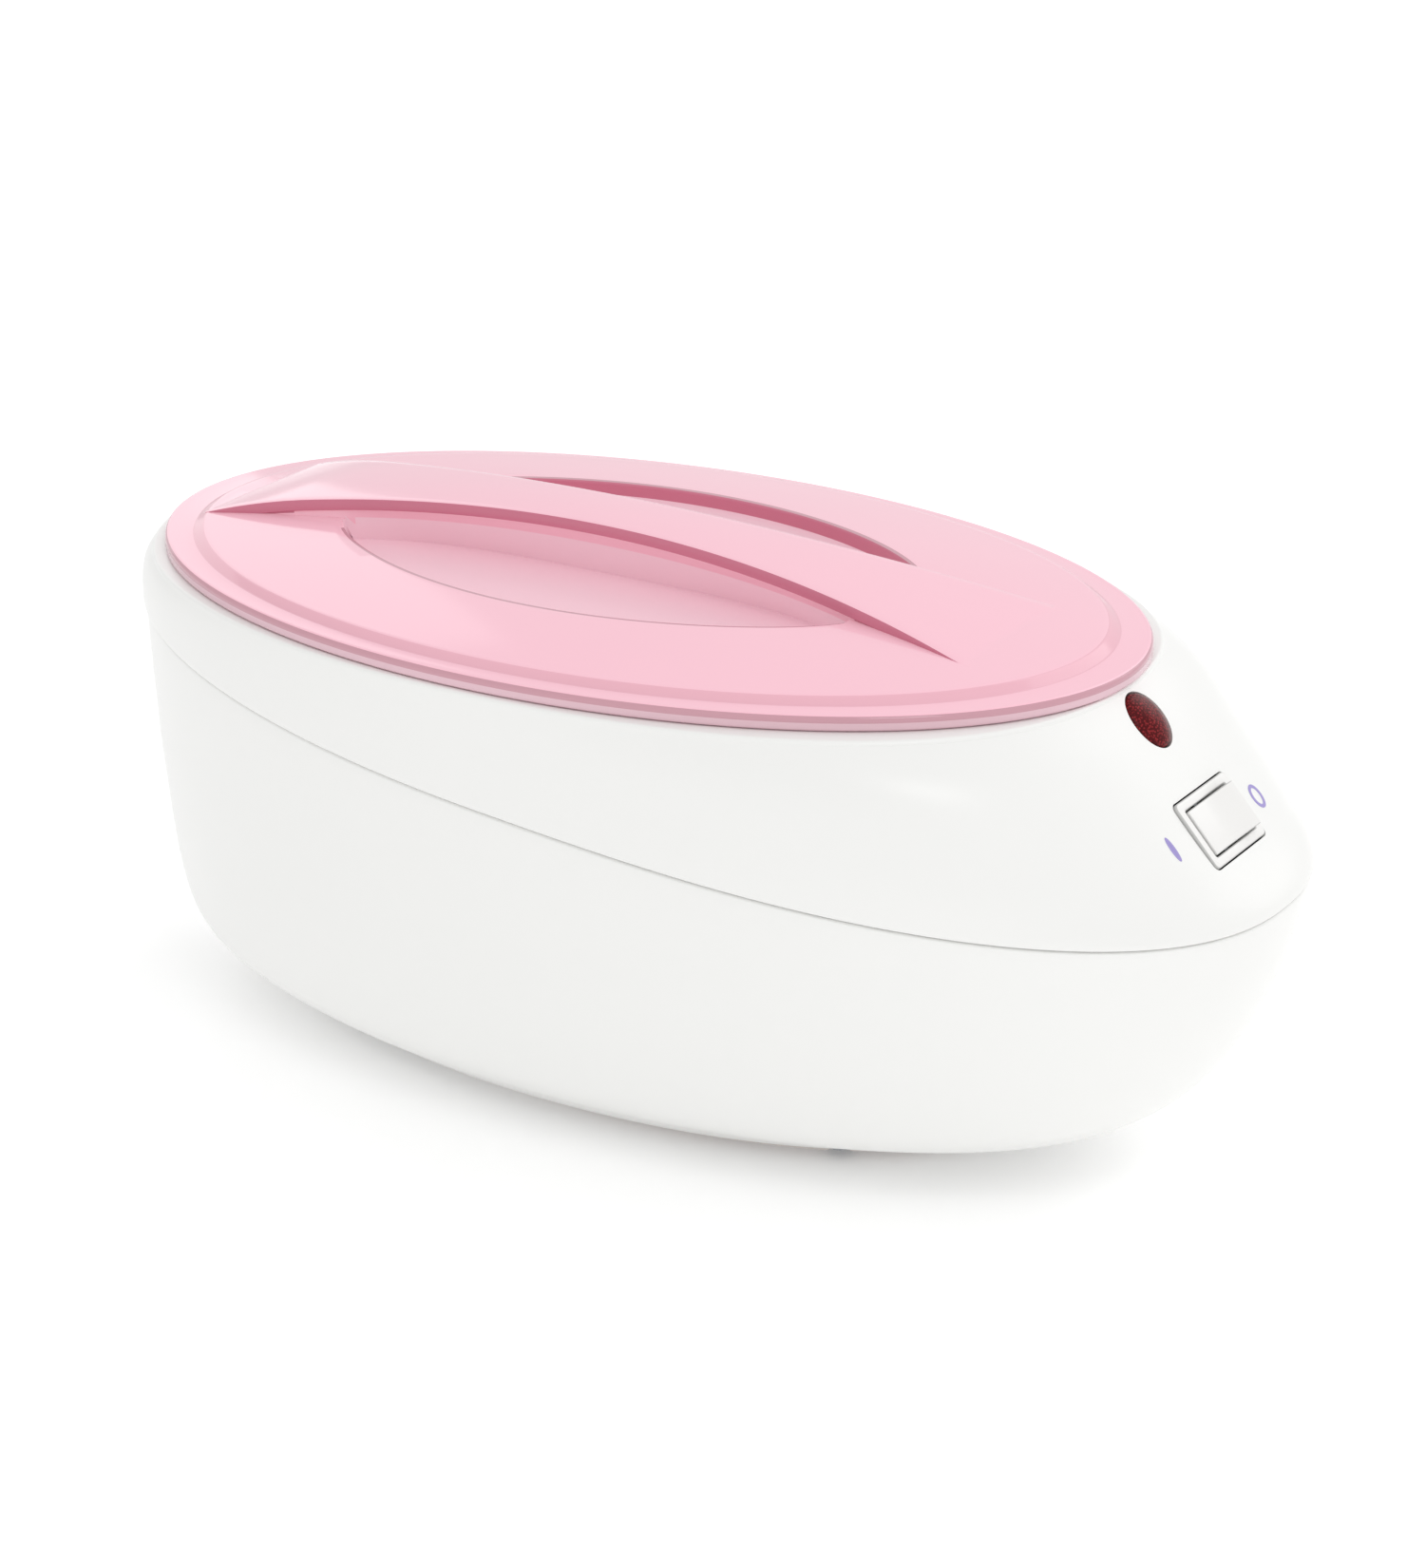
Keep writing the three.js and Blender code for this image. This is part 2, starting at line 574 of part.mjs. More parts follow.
/** Height of the ridge's top edge, which falls faster over the last stretch to its tail tip. */
function ridgeTop(x) {
  const tipFall = RIDGE.tipFall * Math.max((RIDGE.tipStart - x) / RIDGE.tipLength, 0) ** 2;
  return RIDGE.top - RIDGE.drop * ((x - RIDGE.centre) / RIDGE.halfLength) ** 2 - tipFall;
}

function ridgeHalfWidth(x) {
  const flare = x > 0 ? RIDGE.flareRight : RIDGE.flareLeft;
  return RIDGE.waist + flare * (x / RIDGE.halfLength) ** 2;
}

/** Outer edge of the finger pockets, as a distance from the lid's long axis. */
function pocketEdge(x) {
  const along = (x - POCKET.centre) / POCKET.halfLength;
  return ridgeHalfWidth(x) + POCKET.spread * Math.max(1 - along * along, 0) ** 0.8;
}

/** The lid's rings of constant fraction: dome, flange, rim, underside and locating rib. */
function lidShell() {
  const { a, b, rimTop, rimBottom, wall } = LID;
  const oval = (fraction, height) => ovalRing(0, a * fraction, b * fraction, height, SEGMENTS);
  const rib = (inset, height) => ovalRing(0, LID_RIB.a - inset, LID_RIB.b - inset, height, SEGMENTS);
  const dome = [0.2, 0.4, 0.6, 0.76, 0.87, 0.91].map((f) => oval(f, rimTop + domeHeight(f)));
  const under = [0.86, 0.74, 0.56, 0.38, 0.2].map((f) => oval(f, rimTop + domeHeight(f) - wall));
  const rings = [
    ...under.reverse(),
    rib(LID_RIB.thickness, rimTop - wall),
    rib(LID_RIB.thickness, rimBottom - LID_RIB.depth),
    rib(0, rimBottom - LID_RIB.depth),
    rib(0, rimTop - wall),
    oval(0.972, rimTop - wall),
    oval(0.972, rimBottom),
    oval(0.992, rimBottom),
    oval(1, rimBottom + 0.9),
    oval(1, rimTop - 1.3),
    oval(0.99, rimTop),
    oval(RING_STEP + 0.01, rimTop),
    oval(RING_STEP, rimTop + 1.7),
    ...dome.reverse(),
  ];
  return loft(rings);
}

/** Everything under the dome's outer skin, down to a flat bottom. */
function domeSolid(bottom) {
  const fractions = [0.9, 0.76, 0.6, 0.4, 0.2];
  const skin = fractions.map((f) =>
    ovalRing(0, LID.a * f, LID.b * f, LID.rimTop + domeHeight(f) - 0.05, SEGMENTS));
  return loft([ovalRing(0, LID.a * 0.9, LID.b * 0.9, bottom, SEGMENTS), ...skin]);
}

/** Closed cross-sections in YZ, skinned along X. Each section is a list of [y, height above rim top]. */
function alongLid(stations, sectionAt) {
  return loft(stations.map((x) => sectionAt(x).map(([y, z]) => new THREE.Vector3(x, y, LID.rimTop + z))));
}

/** Stations along X that crowd towards both ends. */
function spaced(from, to, count) {
  const middle = (from + to) / 2;
  const half = (to - from) / 2;
  return Array.from({ length: count }, (_, i) => middle - half * Math.cos((i / (count - 1)) * Math.PI));
}

/** The ridge from its top edge down to the pocket floor, drawn in by inset for its hollow. */
function ridgeSection(x, inset) {
  const top = Math.max(ridgeTop(x), 0.5) - inset;
  const half = ridgeHalfWidth(x) - inset;
  const along = Math.min(Math.abs((x - POCKET.centre) / POCKET.halfLength), 1);
  const foot = THREE.MathUtils.lerp(POCKET.inner, ridgeHalfWidth(x), along ** 3) - inset;
  const overPocket = along < 1 || inset > 0;
  const edgeFraction = Math.min(Math.hypot(x / LID.a, half / LID.b), 1);
  const bottom = overPocket ? POCKET.floor - LID.wall - inset : domeHeight(edgeFraction) - 1.4;
  const lip = Math.max(top - LIP_THICKNESS, bottom + 0.6);
  const crown = 0.5;
  const wall = [[foot, bottom], [foot, Math.max(POCKET.floor, bottom + 0.2)], [half - 0.4, lip]];
  const edge = [[half, lip + 0.2], [half, top - 0.4], [half - 0.5, top]];
  const side = [...wall, ...edge, [half * 0.5, top + crown * 0.7], [0, top + crown]];
  const mirrored = side.slice(0, -1).reverse().map(([y, z]) => [-y, z]);
  return [...side, ...mirrored];
}

/** One finger pocket's section, from beside the long axis out to its curved edge, with a sloping foot. */
function pocketSection(x, side, grow, bottom, top) {
  const inner = 1;
  const outer = Math.max(pocketEdge(x) + grow, inner + 0.5);
  const foot = Math.max(outer - 3, inner + 0.3);
  const points = [[inner, bottom], [foot, bottom], [outer, bottom + 3], [outer, top], [inner, top]];
  return side > 0 ? points : points.map(([y, z]) => [-y, z]).reverse();
}

/** The lid as one moulding: shell, two finger pockets and the hollow pinch ridge between them. */
function lidGeometry() {
  const ends = [POCKET.centre - POCKET.halfLength, POCKET.centre + POCKET.halfLength];
  const tubFloor = POCKET.floor - LID.wall;
  const tubStations = spaced(ends[0] - LID.wall, ends[1] + LID.wall, 15);
  const cutStations = spaced(ends[0] + 0.5, ends[1] - 0.5, 17);
  const skin = toSolid(domeSolid(LID.rimTop + tubFloor));
  let lid = toSolid(lidShell());
  for (const side of [1, -1]) {
    const tub = alongLid(tubStations, (x) => pocketSection(x, side, LID.wall, tubFloor - 1, 40));
    lid = lid.add(toSolid(tub).intersect(skin));
  }
  for (const side of [1, -1]) {
    const hole = alongLid(cutStations, (x) => pocketSection(x, side, 0, POCKET.floor, 40));
    lid = lid.subtract(toSolid(hole));
  }
  const ringWall = [-10, 40].map((z) =>
    ovalRing(0, LID.a * (RING_STEP - 0.005), LID.b * (RING_STEP - 0.005), LID.rimTop + z));
  const ridge = toSolid(alongLid(spaced(-152, 134, 25), (x) => ridgeSection(x, 0)));
  const hollow = toSolid(alongLid(spaced(-118, 96, 15), (x) => ridgeSection(x, LID.wall)));
  return toGeometry(lid.add(ridge.intersect(toSolid(loft(ringWall)))).subtract(hollow));
}

// ---------------------------------------------------------------- assembly

function buildHousings() {
  addPiece('lower_housing', lowerHousing(), WHITE_GLOSS);
  addPiece('upper_housing', upperHousing(), WHITE_GLOSS);
  addPiece('base_plate', basePlate(), WHITE_GLOSS);
  FOOT_SPOTS.forEach(([x, y], i) => {
    addPiece(`rubber_foot_${i + 1}`, rubberFoot(), RUBBER).position.set(x, y, 0);
  });
  baseScrewSpots().forEach(([x, y], i) => {
    addPiece(`base_screw_${i + 1}`, tappingScrew(1.5, 10, 3.6, 1.1), STEEL)
      .position.set(x, y, BASE_PLATE.bottom);
  });
  const gland = addPiece('cord_gland', cordGland(), BLACK_PLASTIC);
  const nut = addPiece('gland_nut', glandNut(), BLACK_PLASTIC);
  for (const piece of [gland, nut]) {
    piece.rotation.y = -Math.PI / 2;
    piece.position.set(GLAND.x, 0, GLAND.height);
  }
}

function buildBasin() {
  addPiece('wax_basin', waxBasin(), ALUMINIUM);
  addPiece('basin_gasket', basinGasket(), SILICONE);
  addPiece('heater_rod', heaterRod(), STEEL);
  addPiece('element_clamp', elementClamp(), STEEL).position.set(LID_X, 0, 22.4);
  for (const [i, y] of CLAMP_SCREWS.entries()) {
    addPiece(`clamp_screw_${i + 1}`, tappingScrew(1.5, 12, 3.4, 2), STEEL).position.set(LID_X, y, 20);
  }
  addPiece('insulation_band', basinBand(64, 112, 1.5, 3), GLASS_FIBRE);
}

function buildThermalControl() {
  const sensor = new THREE.Group();
  sensor.rotation.y = Math.PI / 2;
  sensor.position.copy(THERMOSTAT_AT);
  assembly.add(sensor);
  addPiece('thermostat_cap', thermostatCap(), STEEL, sensor);
  addPiece('thermostat_body', thermostatBody(), PORCELAIN, sensor);
  addPiece('thermostat_bracket', thermostatBracket(), STEEL, sensor).position.z = 9.8;

  const fuse = new THREE.Group();
  fuse.rotation.x = Math.PI / 2;
  fuse.position.copy(FUSE_AT);
  assembly.add(fuse);
  addPiece('thermal_fuse', thermalFuse(), STEEL, fuse);
  addPiece('fuse_sleeve', fuseSleeve(), GLASS_FIBRE, fuse);

  addPiece('terminal_block', terminalBlock(), PORCELAIN).position.copy(BLOCK_AT);
}

/** Insulated leads between the terminal block, the switch, the lamp and the heater rod. */
function buildLeads() {
  const start = BLOCK_AT.z + 11;
  const leads = {
    switch_lead: [[86, -9, start], [92, -9, 24], [128, -8.5, 44], [143, -7.8, 74], [150, -7.5, 94]],
    heater_lead: [[70, 4.6, 18], [72, 5, 15.6], [74, 6, 18], [79, 9, start + 3.4], [85, 9, start]],
    lamp_lead: [[86, 0, start], [92, 0, 25], [130, 0, 42], [134, 0, 76], [127.4, 0, 121]],
  };
  addPiece('switch_lead', wire(leads.switch_lead, 1.3, 14), WIRE_BROWN);
  addPiece('heater_lead', wire(leads.heater_lead, 1.3, 10), WIRE_BLUE);
  addPiece('lamp_lead', wire(leads.lamp_lead, 1, 14), WIRE_BLUE);
}

function buildControls() {
  const face = new THREE.Group();
  noseFrame(SWITCH_AT, SWITCH_SLOPE).decompose(face.position, face.quaternion, face.scale);
  assembly.add(face);
  addPiece('switch_bezel', switchBezel(), WHITE_GLOSS, face);
  const rocker = addPiece('rocker', rockerKey(), ROCKER_WHITE, face);
  rocker.position.z = -ROCKER.axisDepth;
  rocker.rotation.x = ROCKER_TILT;
  addPiece('rocker_pin', rockerPin(), STEEL, face).position.z = -ROCKER.axisDepth;
  TERMINAL_SPOTS.forEach((y, i) => {
    addPiece(`switch_terminal_${i + 1}`, bladeTerminal(), BRASS, face).position.set(0, y, -19);
  });

  const lamp = new THREE.Group();
  noseFrame(LAMP_AT, LAMP_SLOPE).decompose(lamp.position, lamp.quaternion, lamp.scale);
  assembly.add(lamp);
  addPiece('lamp_lens', lampLens(), LAMP_RED, lamp);
  addPiece('lamp_holder', lampHolder(), BLACK_PLASTIC, lamp);
  addPiece('neon_bulb', neonBulb(), LAMP_GLASS, lamp);
}

function buildLid() {
  addPiece('lid', lidGeometry(), LID_PINK).position.x = LID_X;
}

buildHousings();
buildBasin();
buildThermalControl();
buildControls();
buildLeads();
buildLid();

export default assembly;
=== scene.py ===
"""Wax warmer pot: fine surfaces, materials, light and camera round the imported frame.

Shape functions work in millimetres, in the frame's own axes: +X to the nose that carries the lamp and
the switch, +Z up. They become metres where a mesh is made.
"""
import math

import bmesh
import bpy
from mathutils import Matrix, Vector
from mathutils.bvhtree import BVHTree


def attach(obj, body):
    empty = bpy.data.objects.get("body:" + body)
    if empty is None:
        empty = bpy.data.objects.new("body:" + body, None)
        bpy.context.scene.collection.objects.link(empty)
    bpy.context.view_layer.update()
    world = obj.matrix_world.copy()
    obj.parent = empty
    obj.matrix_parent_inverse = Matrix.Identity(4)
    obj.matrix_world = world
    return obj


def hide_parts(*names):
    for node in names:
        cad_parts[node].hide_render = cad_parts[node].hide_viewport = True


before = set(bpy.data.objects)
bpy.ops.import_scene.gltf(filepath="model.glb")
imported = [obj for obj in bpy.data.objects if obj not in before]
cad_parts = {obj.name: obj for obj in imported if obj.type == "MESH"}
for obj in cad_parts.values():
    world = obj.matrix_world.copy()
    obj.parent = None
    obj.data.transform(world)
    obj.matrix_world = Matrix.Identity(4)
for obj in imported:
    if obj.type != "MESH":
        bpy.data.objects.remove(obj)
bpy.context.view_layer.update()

MM = 0.001
TAU = 2 * math.pi
ROUND = 224  # points round each large oval

# Housing outline: [height, reach] of the nose, the tail and the sides, and how square the nose is.
NOSE_LINE = [(5, 103), (17, 145), (34, 167), (58, 181), (80, 188), (93.5, 190), (97.5, 187), (104, 178.8),
             (114.5, 168.2), (127, 157), (139.6, 145.6), (147.7, 137.2), (150, 134.8)]
TAIL_LINE = [(5, -141), (12, -168), (20, -181), (34, -186), (62, -188), (97, -190), (134, -190),
             (143, -188), (150, -180)]
SIDE_LINE = [(5, 58), (10, 67), (27, 83), (62, 96), (102, 101), (132, 101.5), (150, 101)]
NOSE_FULLNESS = [(5, 2.05), (85, 2.15), (114, 2.75), (135, 2.75), (150, 2.15)]
TAIL_FULLNESS = 2.05

WALL = 2.6
OVERHANG = 0.8  # the collar stands this far proud of the tub
SEAM_HEIGHT = 112.2
SEAM_SLOPE = -0.1
SEAM_GAP = 0.6
FLOOR_BOTTOM = 5.0
ACCESS_HOLE = (-6, 82, 34)  # centre x, half length, half width
LID_X = -20.8
DECK = 147.7
RECESS = (151.5, 90, 144)  # half length, half width, height
MOUTH = (145.5, 84.5)
BASIN_WALL = 1.4
BASIN_FLOOR = 34.0
BASIN_TOP = 147.0
BASIN_MOUTH = (144, 83)  # half length and half width inside
BASIN_DRAFT = (14, 13)  # what each of them loses from the mouth to the floor
BASIN_ROUND = 26  # between the wall and the floor
BASE_PLATE = (-3, 104, 52.5, 2.0, 4.7)  # centre x, half length, half width, bottom, top
FEET = [(x, y) for x in (-76, 70) for y in (-19.2, 19.2)]
PLATE_SCREWS = [(BASE_PLATE[0] + x, y) for x in (-72, 72) for y in (-34, 34)]
VENT_ROWS = (-12, -6, 0, 6, 12)

SWITCH_SLOPE = math.atan2(25.5, 23)  # from the drop and the run of the nose face there
LAMP_SLOPE = math.atan2(24.6, 24)
SWITCH_AT = Vector((168.2, 0, 114.5))
LAMP_AT = Vector((145.6, 0, 139.6))
LAMP_RADIUS = 7.4
LAMP_STRETCH = 1.18
BEZEL = (21.0, 31.0)  # down the slope, across it
BEZEL_PROUD = 0.5
WELL = (15.2, 25.0)
ROCKER_DEPTH = 4.2  # of the pin below the nose face
ROCKER = (14.2, 22.4)
ROCKER_TILT = math.radians(9)

LID_A = 160.0
LID_B = 99.5
RIM_BOTTOM = 148.0
RIM_TOP = 152.4
LID_WALL = 2.2
LID_CLEAR = 40.0  # cutters reach this far above the rim's top
RIB = (141, 80, 143)  # locating rib under the lid: half length, half width, bottom
RING_STEP = 0.925  # where the flange steps up to the dome, as a fraction of the outline
DOME_FOOT = 2.0  # heights here and below are above the rim's top
DOME_RISE = 6.8
RIDGE_ENDS = (-152, 134)
RIDGE_HOLLOW = (-118, 96)  # ends of the hollow inside it
RIDGE_LIP = 3.6  # height of the lip along its top edges
RIDGE_CREST = 17.0
RIDGE_CREST_AT = -10.0
RIDGE_FALL = 15.0  # from the crest to RIDGE_REACH away
RIDGE_TIP = (-105, 35, 2.1)  # start, length and extra fall of the tail tip
RIDGE_WAIST = 13.0  # half width
RIDGE_SPREAD = (17, 20)  # half width gained at the tail end and at the nose end
RIDGE_REACH = 140.0  # half length over which the ridge falls and spreads
POCKET_CENTRE = -5.0
POCKET_HALF = 88.0
POCKET_WIDTH = 43.0
POCKET_FLOOR = -1.0
POCKET_TIP = -88.0  # the painted shade on the pockets' edge stops here, short of their tail end

SEAM_EDGE = 0.9  # round of the tub's edge at the seam
SEAM_EDGE_STEPS = [(0.1, 0.42), (0.34, 0.74), (0.7, 0.9)]  # inset and climb along it
FACE_GAP = 0.45  # clearance round the bezel and the lens


# ------------------------------------------------------------------ mesh helpers

def smooth_line(pairs, window):
    """A function through [position, value] pairs that never overshoots, rounded over a short window."""
    slopes = [(b[1] - a[1]) / (b[0] - a[0]) for a, b in zip(pairs, pairs[1:])]
    tangents = [slopes[0]]
    for before, after in zip(slopes, slopes[1:]):
        tangents.append(0 if before * after <= 0 else 2 * before * after / (before + after))
    tangents.append(slopes[-1])

    def sharp(position):
        i = max(0, min(len(pairs) - 2, sum(p[0] <= position for p in pairs) - 1))
        span = pairs[i + 1][0] - pairs[i][0]
        t = max(0.0, min(1.0, (position - pairs[i][0]) / span))
        rise = (1 + 2 * t) * (1 - t) ** 2 * pairs[i][1] + t * t * (3 - 2 * t) * pairs[i + 1][1]
        return rise + (t * (1 - t) ** 2 * tangents[i] - t * t * (1 - t) * tangents[i + 1]) * span

    steps = [-1, -0.75, -0.5, -0.25, 0, 0.25, 0.5, 0.75, 1]
    weights = [1 - 0.8 * abs(s) for s in steps]
    total = sum(weights)
    return lambda position: sum(w * sharp(position + s * window) for s, w in zip(steps, weights)) / total


nose_reach = smooth_line(NOSE_LINE, 3)
tail_reach = smooth_line(TAIL_LINE, 4)
side_reach = smooth_line(SIDE_LINE, 5)
nose_fullness = smooth_line(NOSE_FULLNESS, 8)


def lerp(a, b, t):
    return a + (b - a) * t


def round_power(value, power):
    return math.copysign(abs(value) ** power, value)


def ring(point_at, count=ROUND):
    """Counter-clockwise ring of points, seen from above."""
    return [point_at(i / count * TAU) for i in range(count)]


def oval(x, a, b, z, count=ROUND):
    return ring(lambda t: (x + a * math.cos(t), b * math.sin(t), z), count)


def mesh_piece(name, points, faces, sharp_degrees=32):
    """A smooth-shaded object from points in millimetres."""
    mesh = bpy.data.meshes.new(name)
    mesh.from_pydata([tuple(c * MM for c in p) for p in points], [], faces)
    mesh.validate()
    finish_mesh(mesh, sharp_degrees)
    piece = bpy.data.objects.new(name, mesh)
    bpy.context.scene.collection.objects.link(piece)
    return piece


def finish_mesh(mesh, sharp_degrees=32):
    """Outward faces, smooth shading and sharp edges by angle."""
    work = bmesh.new()
    work.from_mesh(mesh)
    bmesh.ops.recalc_face_normals(work, faces=work.faces)
    for face in work.faces:
        face.smooth = True
    work.to_mesh(mesh)
    work.free()
    mesh.set_sharp_from_angle(angle=math.radians(sharp_degrees))


def loft(name, rings, looped=False, sharp_degrees=32):
    """Skins rings of equal length; a looped loft closes on its first ring, others get end caps."""
    count = len(rings[0])
    points = [p for r in rings for p in r]
    faces = []
    for i in range(len(rings) if looped else len(rings) - 1):
        low = i * count
        high = (i + 1) % len(rings) * count
        for j in range(count):
            k = (j + 1) % count
            faces.append((low + j, low + k, high + k, high + j))
    if not looped:
        faces.append(tuple(reversed(range(count))))
        faces.append(tuple(range(len(points) - count, len(points))))
    return mesh_piece(name, points, faces, sharp_degrees)


def turned(name, profile, sides=64, sharp_degrees=32):
    """Body of revolution about Z; the profile of [radius, height] closes on itself or on the axis."""
    closes = profile[0][0] > 0
    rings = [oval(0, max(r, 0.001), max(r, 0.001), z, sides) for r, z in profile]
    return loft(name, rings, looped=closes, sharp_degrees=sharp_degrees)


def arc(cx, cz, radius, start, end, steps=5):
    """Points [offset, height] of an arc, angles in degrees."""
    angles = [math.radians(lerp(start, end, i / steps)) for i in range(steps + 1)]
    return [(cx + radius * math.cos(t), cz + radius * math.sin(t)) for t in angles]


def rounded_rect(length, width, radius, z, corner_steps=6):
    """Ring of a rectangle with round corners about the origin."""
    points = []
    for sx, sy, start in ((1, 1, 0), (-1, 1, 90), (-1, -1, 180), (1, -1, 270)):
        centre = (sx * (length / 2 - radius), sy * (width / 2 - radius))
        for x, y in arc(*centre, radius, start, start + 90, corner_steps):
            points.append((x, y, z))
    return points


def apply_modifiers(piece, sharp_degrees=32):
    """Replaces a piece's mesh with its evaluated mesh and drops the modifiers."""
    graph = bpy.context.evaluated_depsgraph_get()
    mesh = bpy.data.meshes.new_from_object(piece.evaluated_get(graph))
    piece.modifiers.clear()
    piece.data = mesh
    finish_mesh(mesh, sharp_degrees)


def combine(piece, tool, operation, sharp_degrees=32):
    """Joins, cuts or intersects a piece with a tool object, which is then removed."""
    modifier = piece.modifiers.new("combine", "BOOLEAN")
    modifier.operation = operation
    modifier.solver = "MANIFOLD"
    modifier.object = tool
    bpy.context.view_layer.update()
    apply_modifiers(piece, sharp_degrees)
    bpy.data.objects.remove(tool)


def bevel(piece, width, segments=3, angle=35, sharp_degrees=32):
    """Rounds a piece's sharp edges; the width is in millimetres."""
    modifier = piece.modifiers.new("edge", "BEVEL")
    modifier.width = width * MM
    modifier.segments = segments
    modifier.limit_method = "ANGLE"
    modifier.angle_limit = math.radians(angle)
    bpy.context.view_layer.update()
    apply_modifiers(piece, sharp_degrees)


def place(piece, matrix):
    """Moves a piece's mesh by a matrix given in millimetres."""
    scaled = matrix.copy()
    scaled.translation = matrix.translation * MM
    piece.data.transform(scaled)
    return piece


def dress(piece, body, node, slot, *materials):
    """Rides a piece on its body, in place of its CAD node, with its materials; its finish argument is not
    used.
    """
    piece.data.materials.clear()
    for material in materials:
        piece.data.materials.append(material)
    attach(piece, body)
    if node:
        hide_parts(node)


# ------------------------------------------------------------------ material helpers

def linear(red, green, blue):
    """Colour from 0-255 sRGB values."""
    def channel(value):
        v = value / 255
        return v / 12.92 if v <= 0.04045 else ((v + 0.055) / 1.055) ** 2.4
    return (channel(red), channel(green), channel(blue), 1)


def moulded(name, colour, roughness, mottle=0.015, grain=900.0, bump=0.02, **sockets):
    """Moulded plastic, metal or rubber: faint mottling in colour and gloss, and a fine surface grain."""
    material = bpy.data.materials.new(name)
    material.use_nodes = True
    tree = material.node_tree
    shader = tree.nodes["Principled BSDF"]
    for socket, value in sockets.items():
        shader.inputs[socket.replace("_", " ")].default_value = value

    place_node = tree.nodes.new("ShaderNodeTexCoord")
    cloud = tree.nodes.new("ShaderNodeTexNoise")
    cloud.inputs["Scale"].default_value = 14
    cloud.inputs["Detail"].default_value = 3
    tree.links.new(place_node.outputs["Object"], cloud.inputs["Vector"])

    tint = tree.nodes.new("ShaderNodeMixRGB")
    tint.inputs["Color1"].default_value = tuple(c * (1 - mottle) for c in colour[:3]) + (1,)
    tint.inputs["Color2"].default_value = tuple(min(1, c * (1 + mottle)) for c in colour[:3]) + (1,)
    tree.links.new(cloud.outputs["Fac"], tint.inputs["Fac"])
    tree.links.new(tint.outputs["Color"], shader.inputs["Base Color"])

    gloss = tree.nodes.new("ShaderNodeMapRange")
    gloss.inputs["To Min"].default_value = roughness * 0.9
    gloss.inputs["To Max"].default_value = roughness * 1.12
    tree.links.new(cloud.outputs["Fac"], gloss.inputs["Value"])
    tree.links.new(gloss.outputs["Result"], shader.inputs["Roughness"])

    fine = tree.nodes.new("ShaderNodeTexNoise")
    fine.inputs["Scale"].default_value = grain
    fine.inputs["Detail"].default_value = 2
    tree.links.new(place_node.outputs["Object"], fine.inputs["Vector"])
    relief = tree.nodes.new("ShaderNodeBump")
    relief.inputs["Strength"].default_value = bump
    relief.inputs["Distance"].default_value = 0.0002
    tree.links.new(fine.outputs["Fac"], relief.inputs["Height"])
    tree.links.new(relief.outputs["Normal"], shader.inputs["Normal"])
    return material


def lens_red():
    """Deep red lens with a grainy core; the lighter flecks in its colour are painted sparkle."""
    material = moulded("lamp_red", linear(96, 16, 20), 0.3, mottle=0.2, grain=700, bump=0.3,
                       Specular_IOR_Level=0.15)
    tree = material.node_tree
    shader = tree.nodes["Principled BSDF"]
    coords = tree.nodes.new("ShaderNodeTexCoord")
    # Lighter flecks of colour in small cells: painted sparkle.
    painted_sparkle_cells = tree.nodes.new("ShaderNodeTexVoronoi")
    painted_sparkle_cells.inputs["Scale"].default_value = 1500
    tree.links.new(coords.outputs["Object"], painted_sparkle_cells.inputs["Vector"])
    ramp = tree.nodes.new("ShaderNodeValToRGB")
    ramp.color_ramp.elements[0].position = 0.1
    ramp.color_ramp.elements[0].color = linear(160, 44, 48)
    ramp.color_ramp.elements[1].position = 0.55
    ramp.color_ramp.elements[1].color = linear(78, 4, 10)
    tree.links.new(painted_sparkle_cells.outputs["Distance"], ramp.inputs["Fac"])
    tree.links.new(ramp.outputs["Color"], shader.inputs["Base Color"])
    return material


def lid_pink(name, colour, roughness=0.1, **sockets):
    """One tint of the lid's glossy plastic: its own pink, or a painted shade of it."""
    return moulded(name, linear(*colour), roughness, mottle=0.012, bump=0.01,
                   Specular_IOR_Level=0.35, **sockets)


WHITE = moulded("white_plastic", linear(240, 240, 238), 0.3, mottle=0.004, bump=0.01, IOR=1.46)
PLATE_WHITE = moulded("plate_white", linear(218, 211, 207), 0.55, mottle=0.01, bump=0.05)
SWITCH_WHITE = moulded("switch_white", linear(238, 237, 235), 0.28, mottle=0.006, IOR=1.49)
# Greyer white for the switch's side faces: painted shade, drawing thin dark edge lines.
SWITCH_EDGE_SHADE = moulded("switch_edge_painted_shade", linear(196, 196, 194), 0.4, mottle=0.006, IOR=1.49)
LID_DOME = lid_pink("lid_dome", (250, 197, 211))
# Deep, saturated pink for steep walls by the ridge's lip and the pockets' edges: painted shade.
LID_LIP_SHADE = moulded("lid_lip_painted_shade", linear(206, 122, 144), 0.2, mottle=0.03, IOR=1.49)
# Darker pink for the rim's sides and the pockets' brims: painted shade.
LID_RIM_SHADE = moulded("lid_rim_painted_shade", linear(202, 152, 164), 0.07, mottle=0.03, IOR=1.49)
# Less dark pink for the lower part of the rim's sides: painted shade.
LID_SKIRT_SHADE = moulded("lid_skirt_painted_shade", linear(226, 190, 200), 0.18, mottle=0.03, IOR=1.49)
# Darker pink for the ring step between flange and dome: painted shade.
LID_BAND_SHADE = lid_pink("lid_band_painted_shade", (238, 182, 196))
# Greyer pink for the finger pockets: painted shade, with a faint pink glow as painted light.
LID_POCKET_SHADE_AND_GLOW = lid_pink("lid_pocket_painted_shade_and_glow", (225, 196, 204), 0.2,
                      Emission_Color=linear(230, 184, 197), Emission_Strength=0.21)
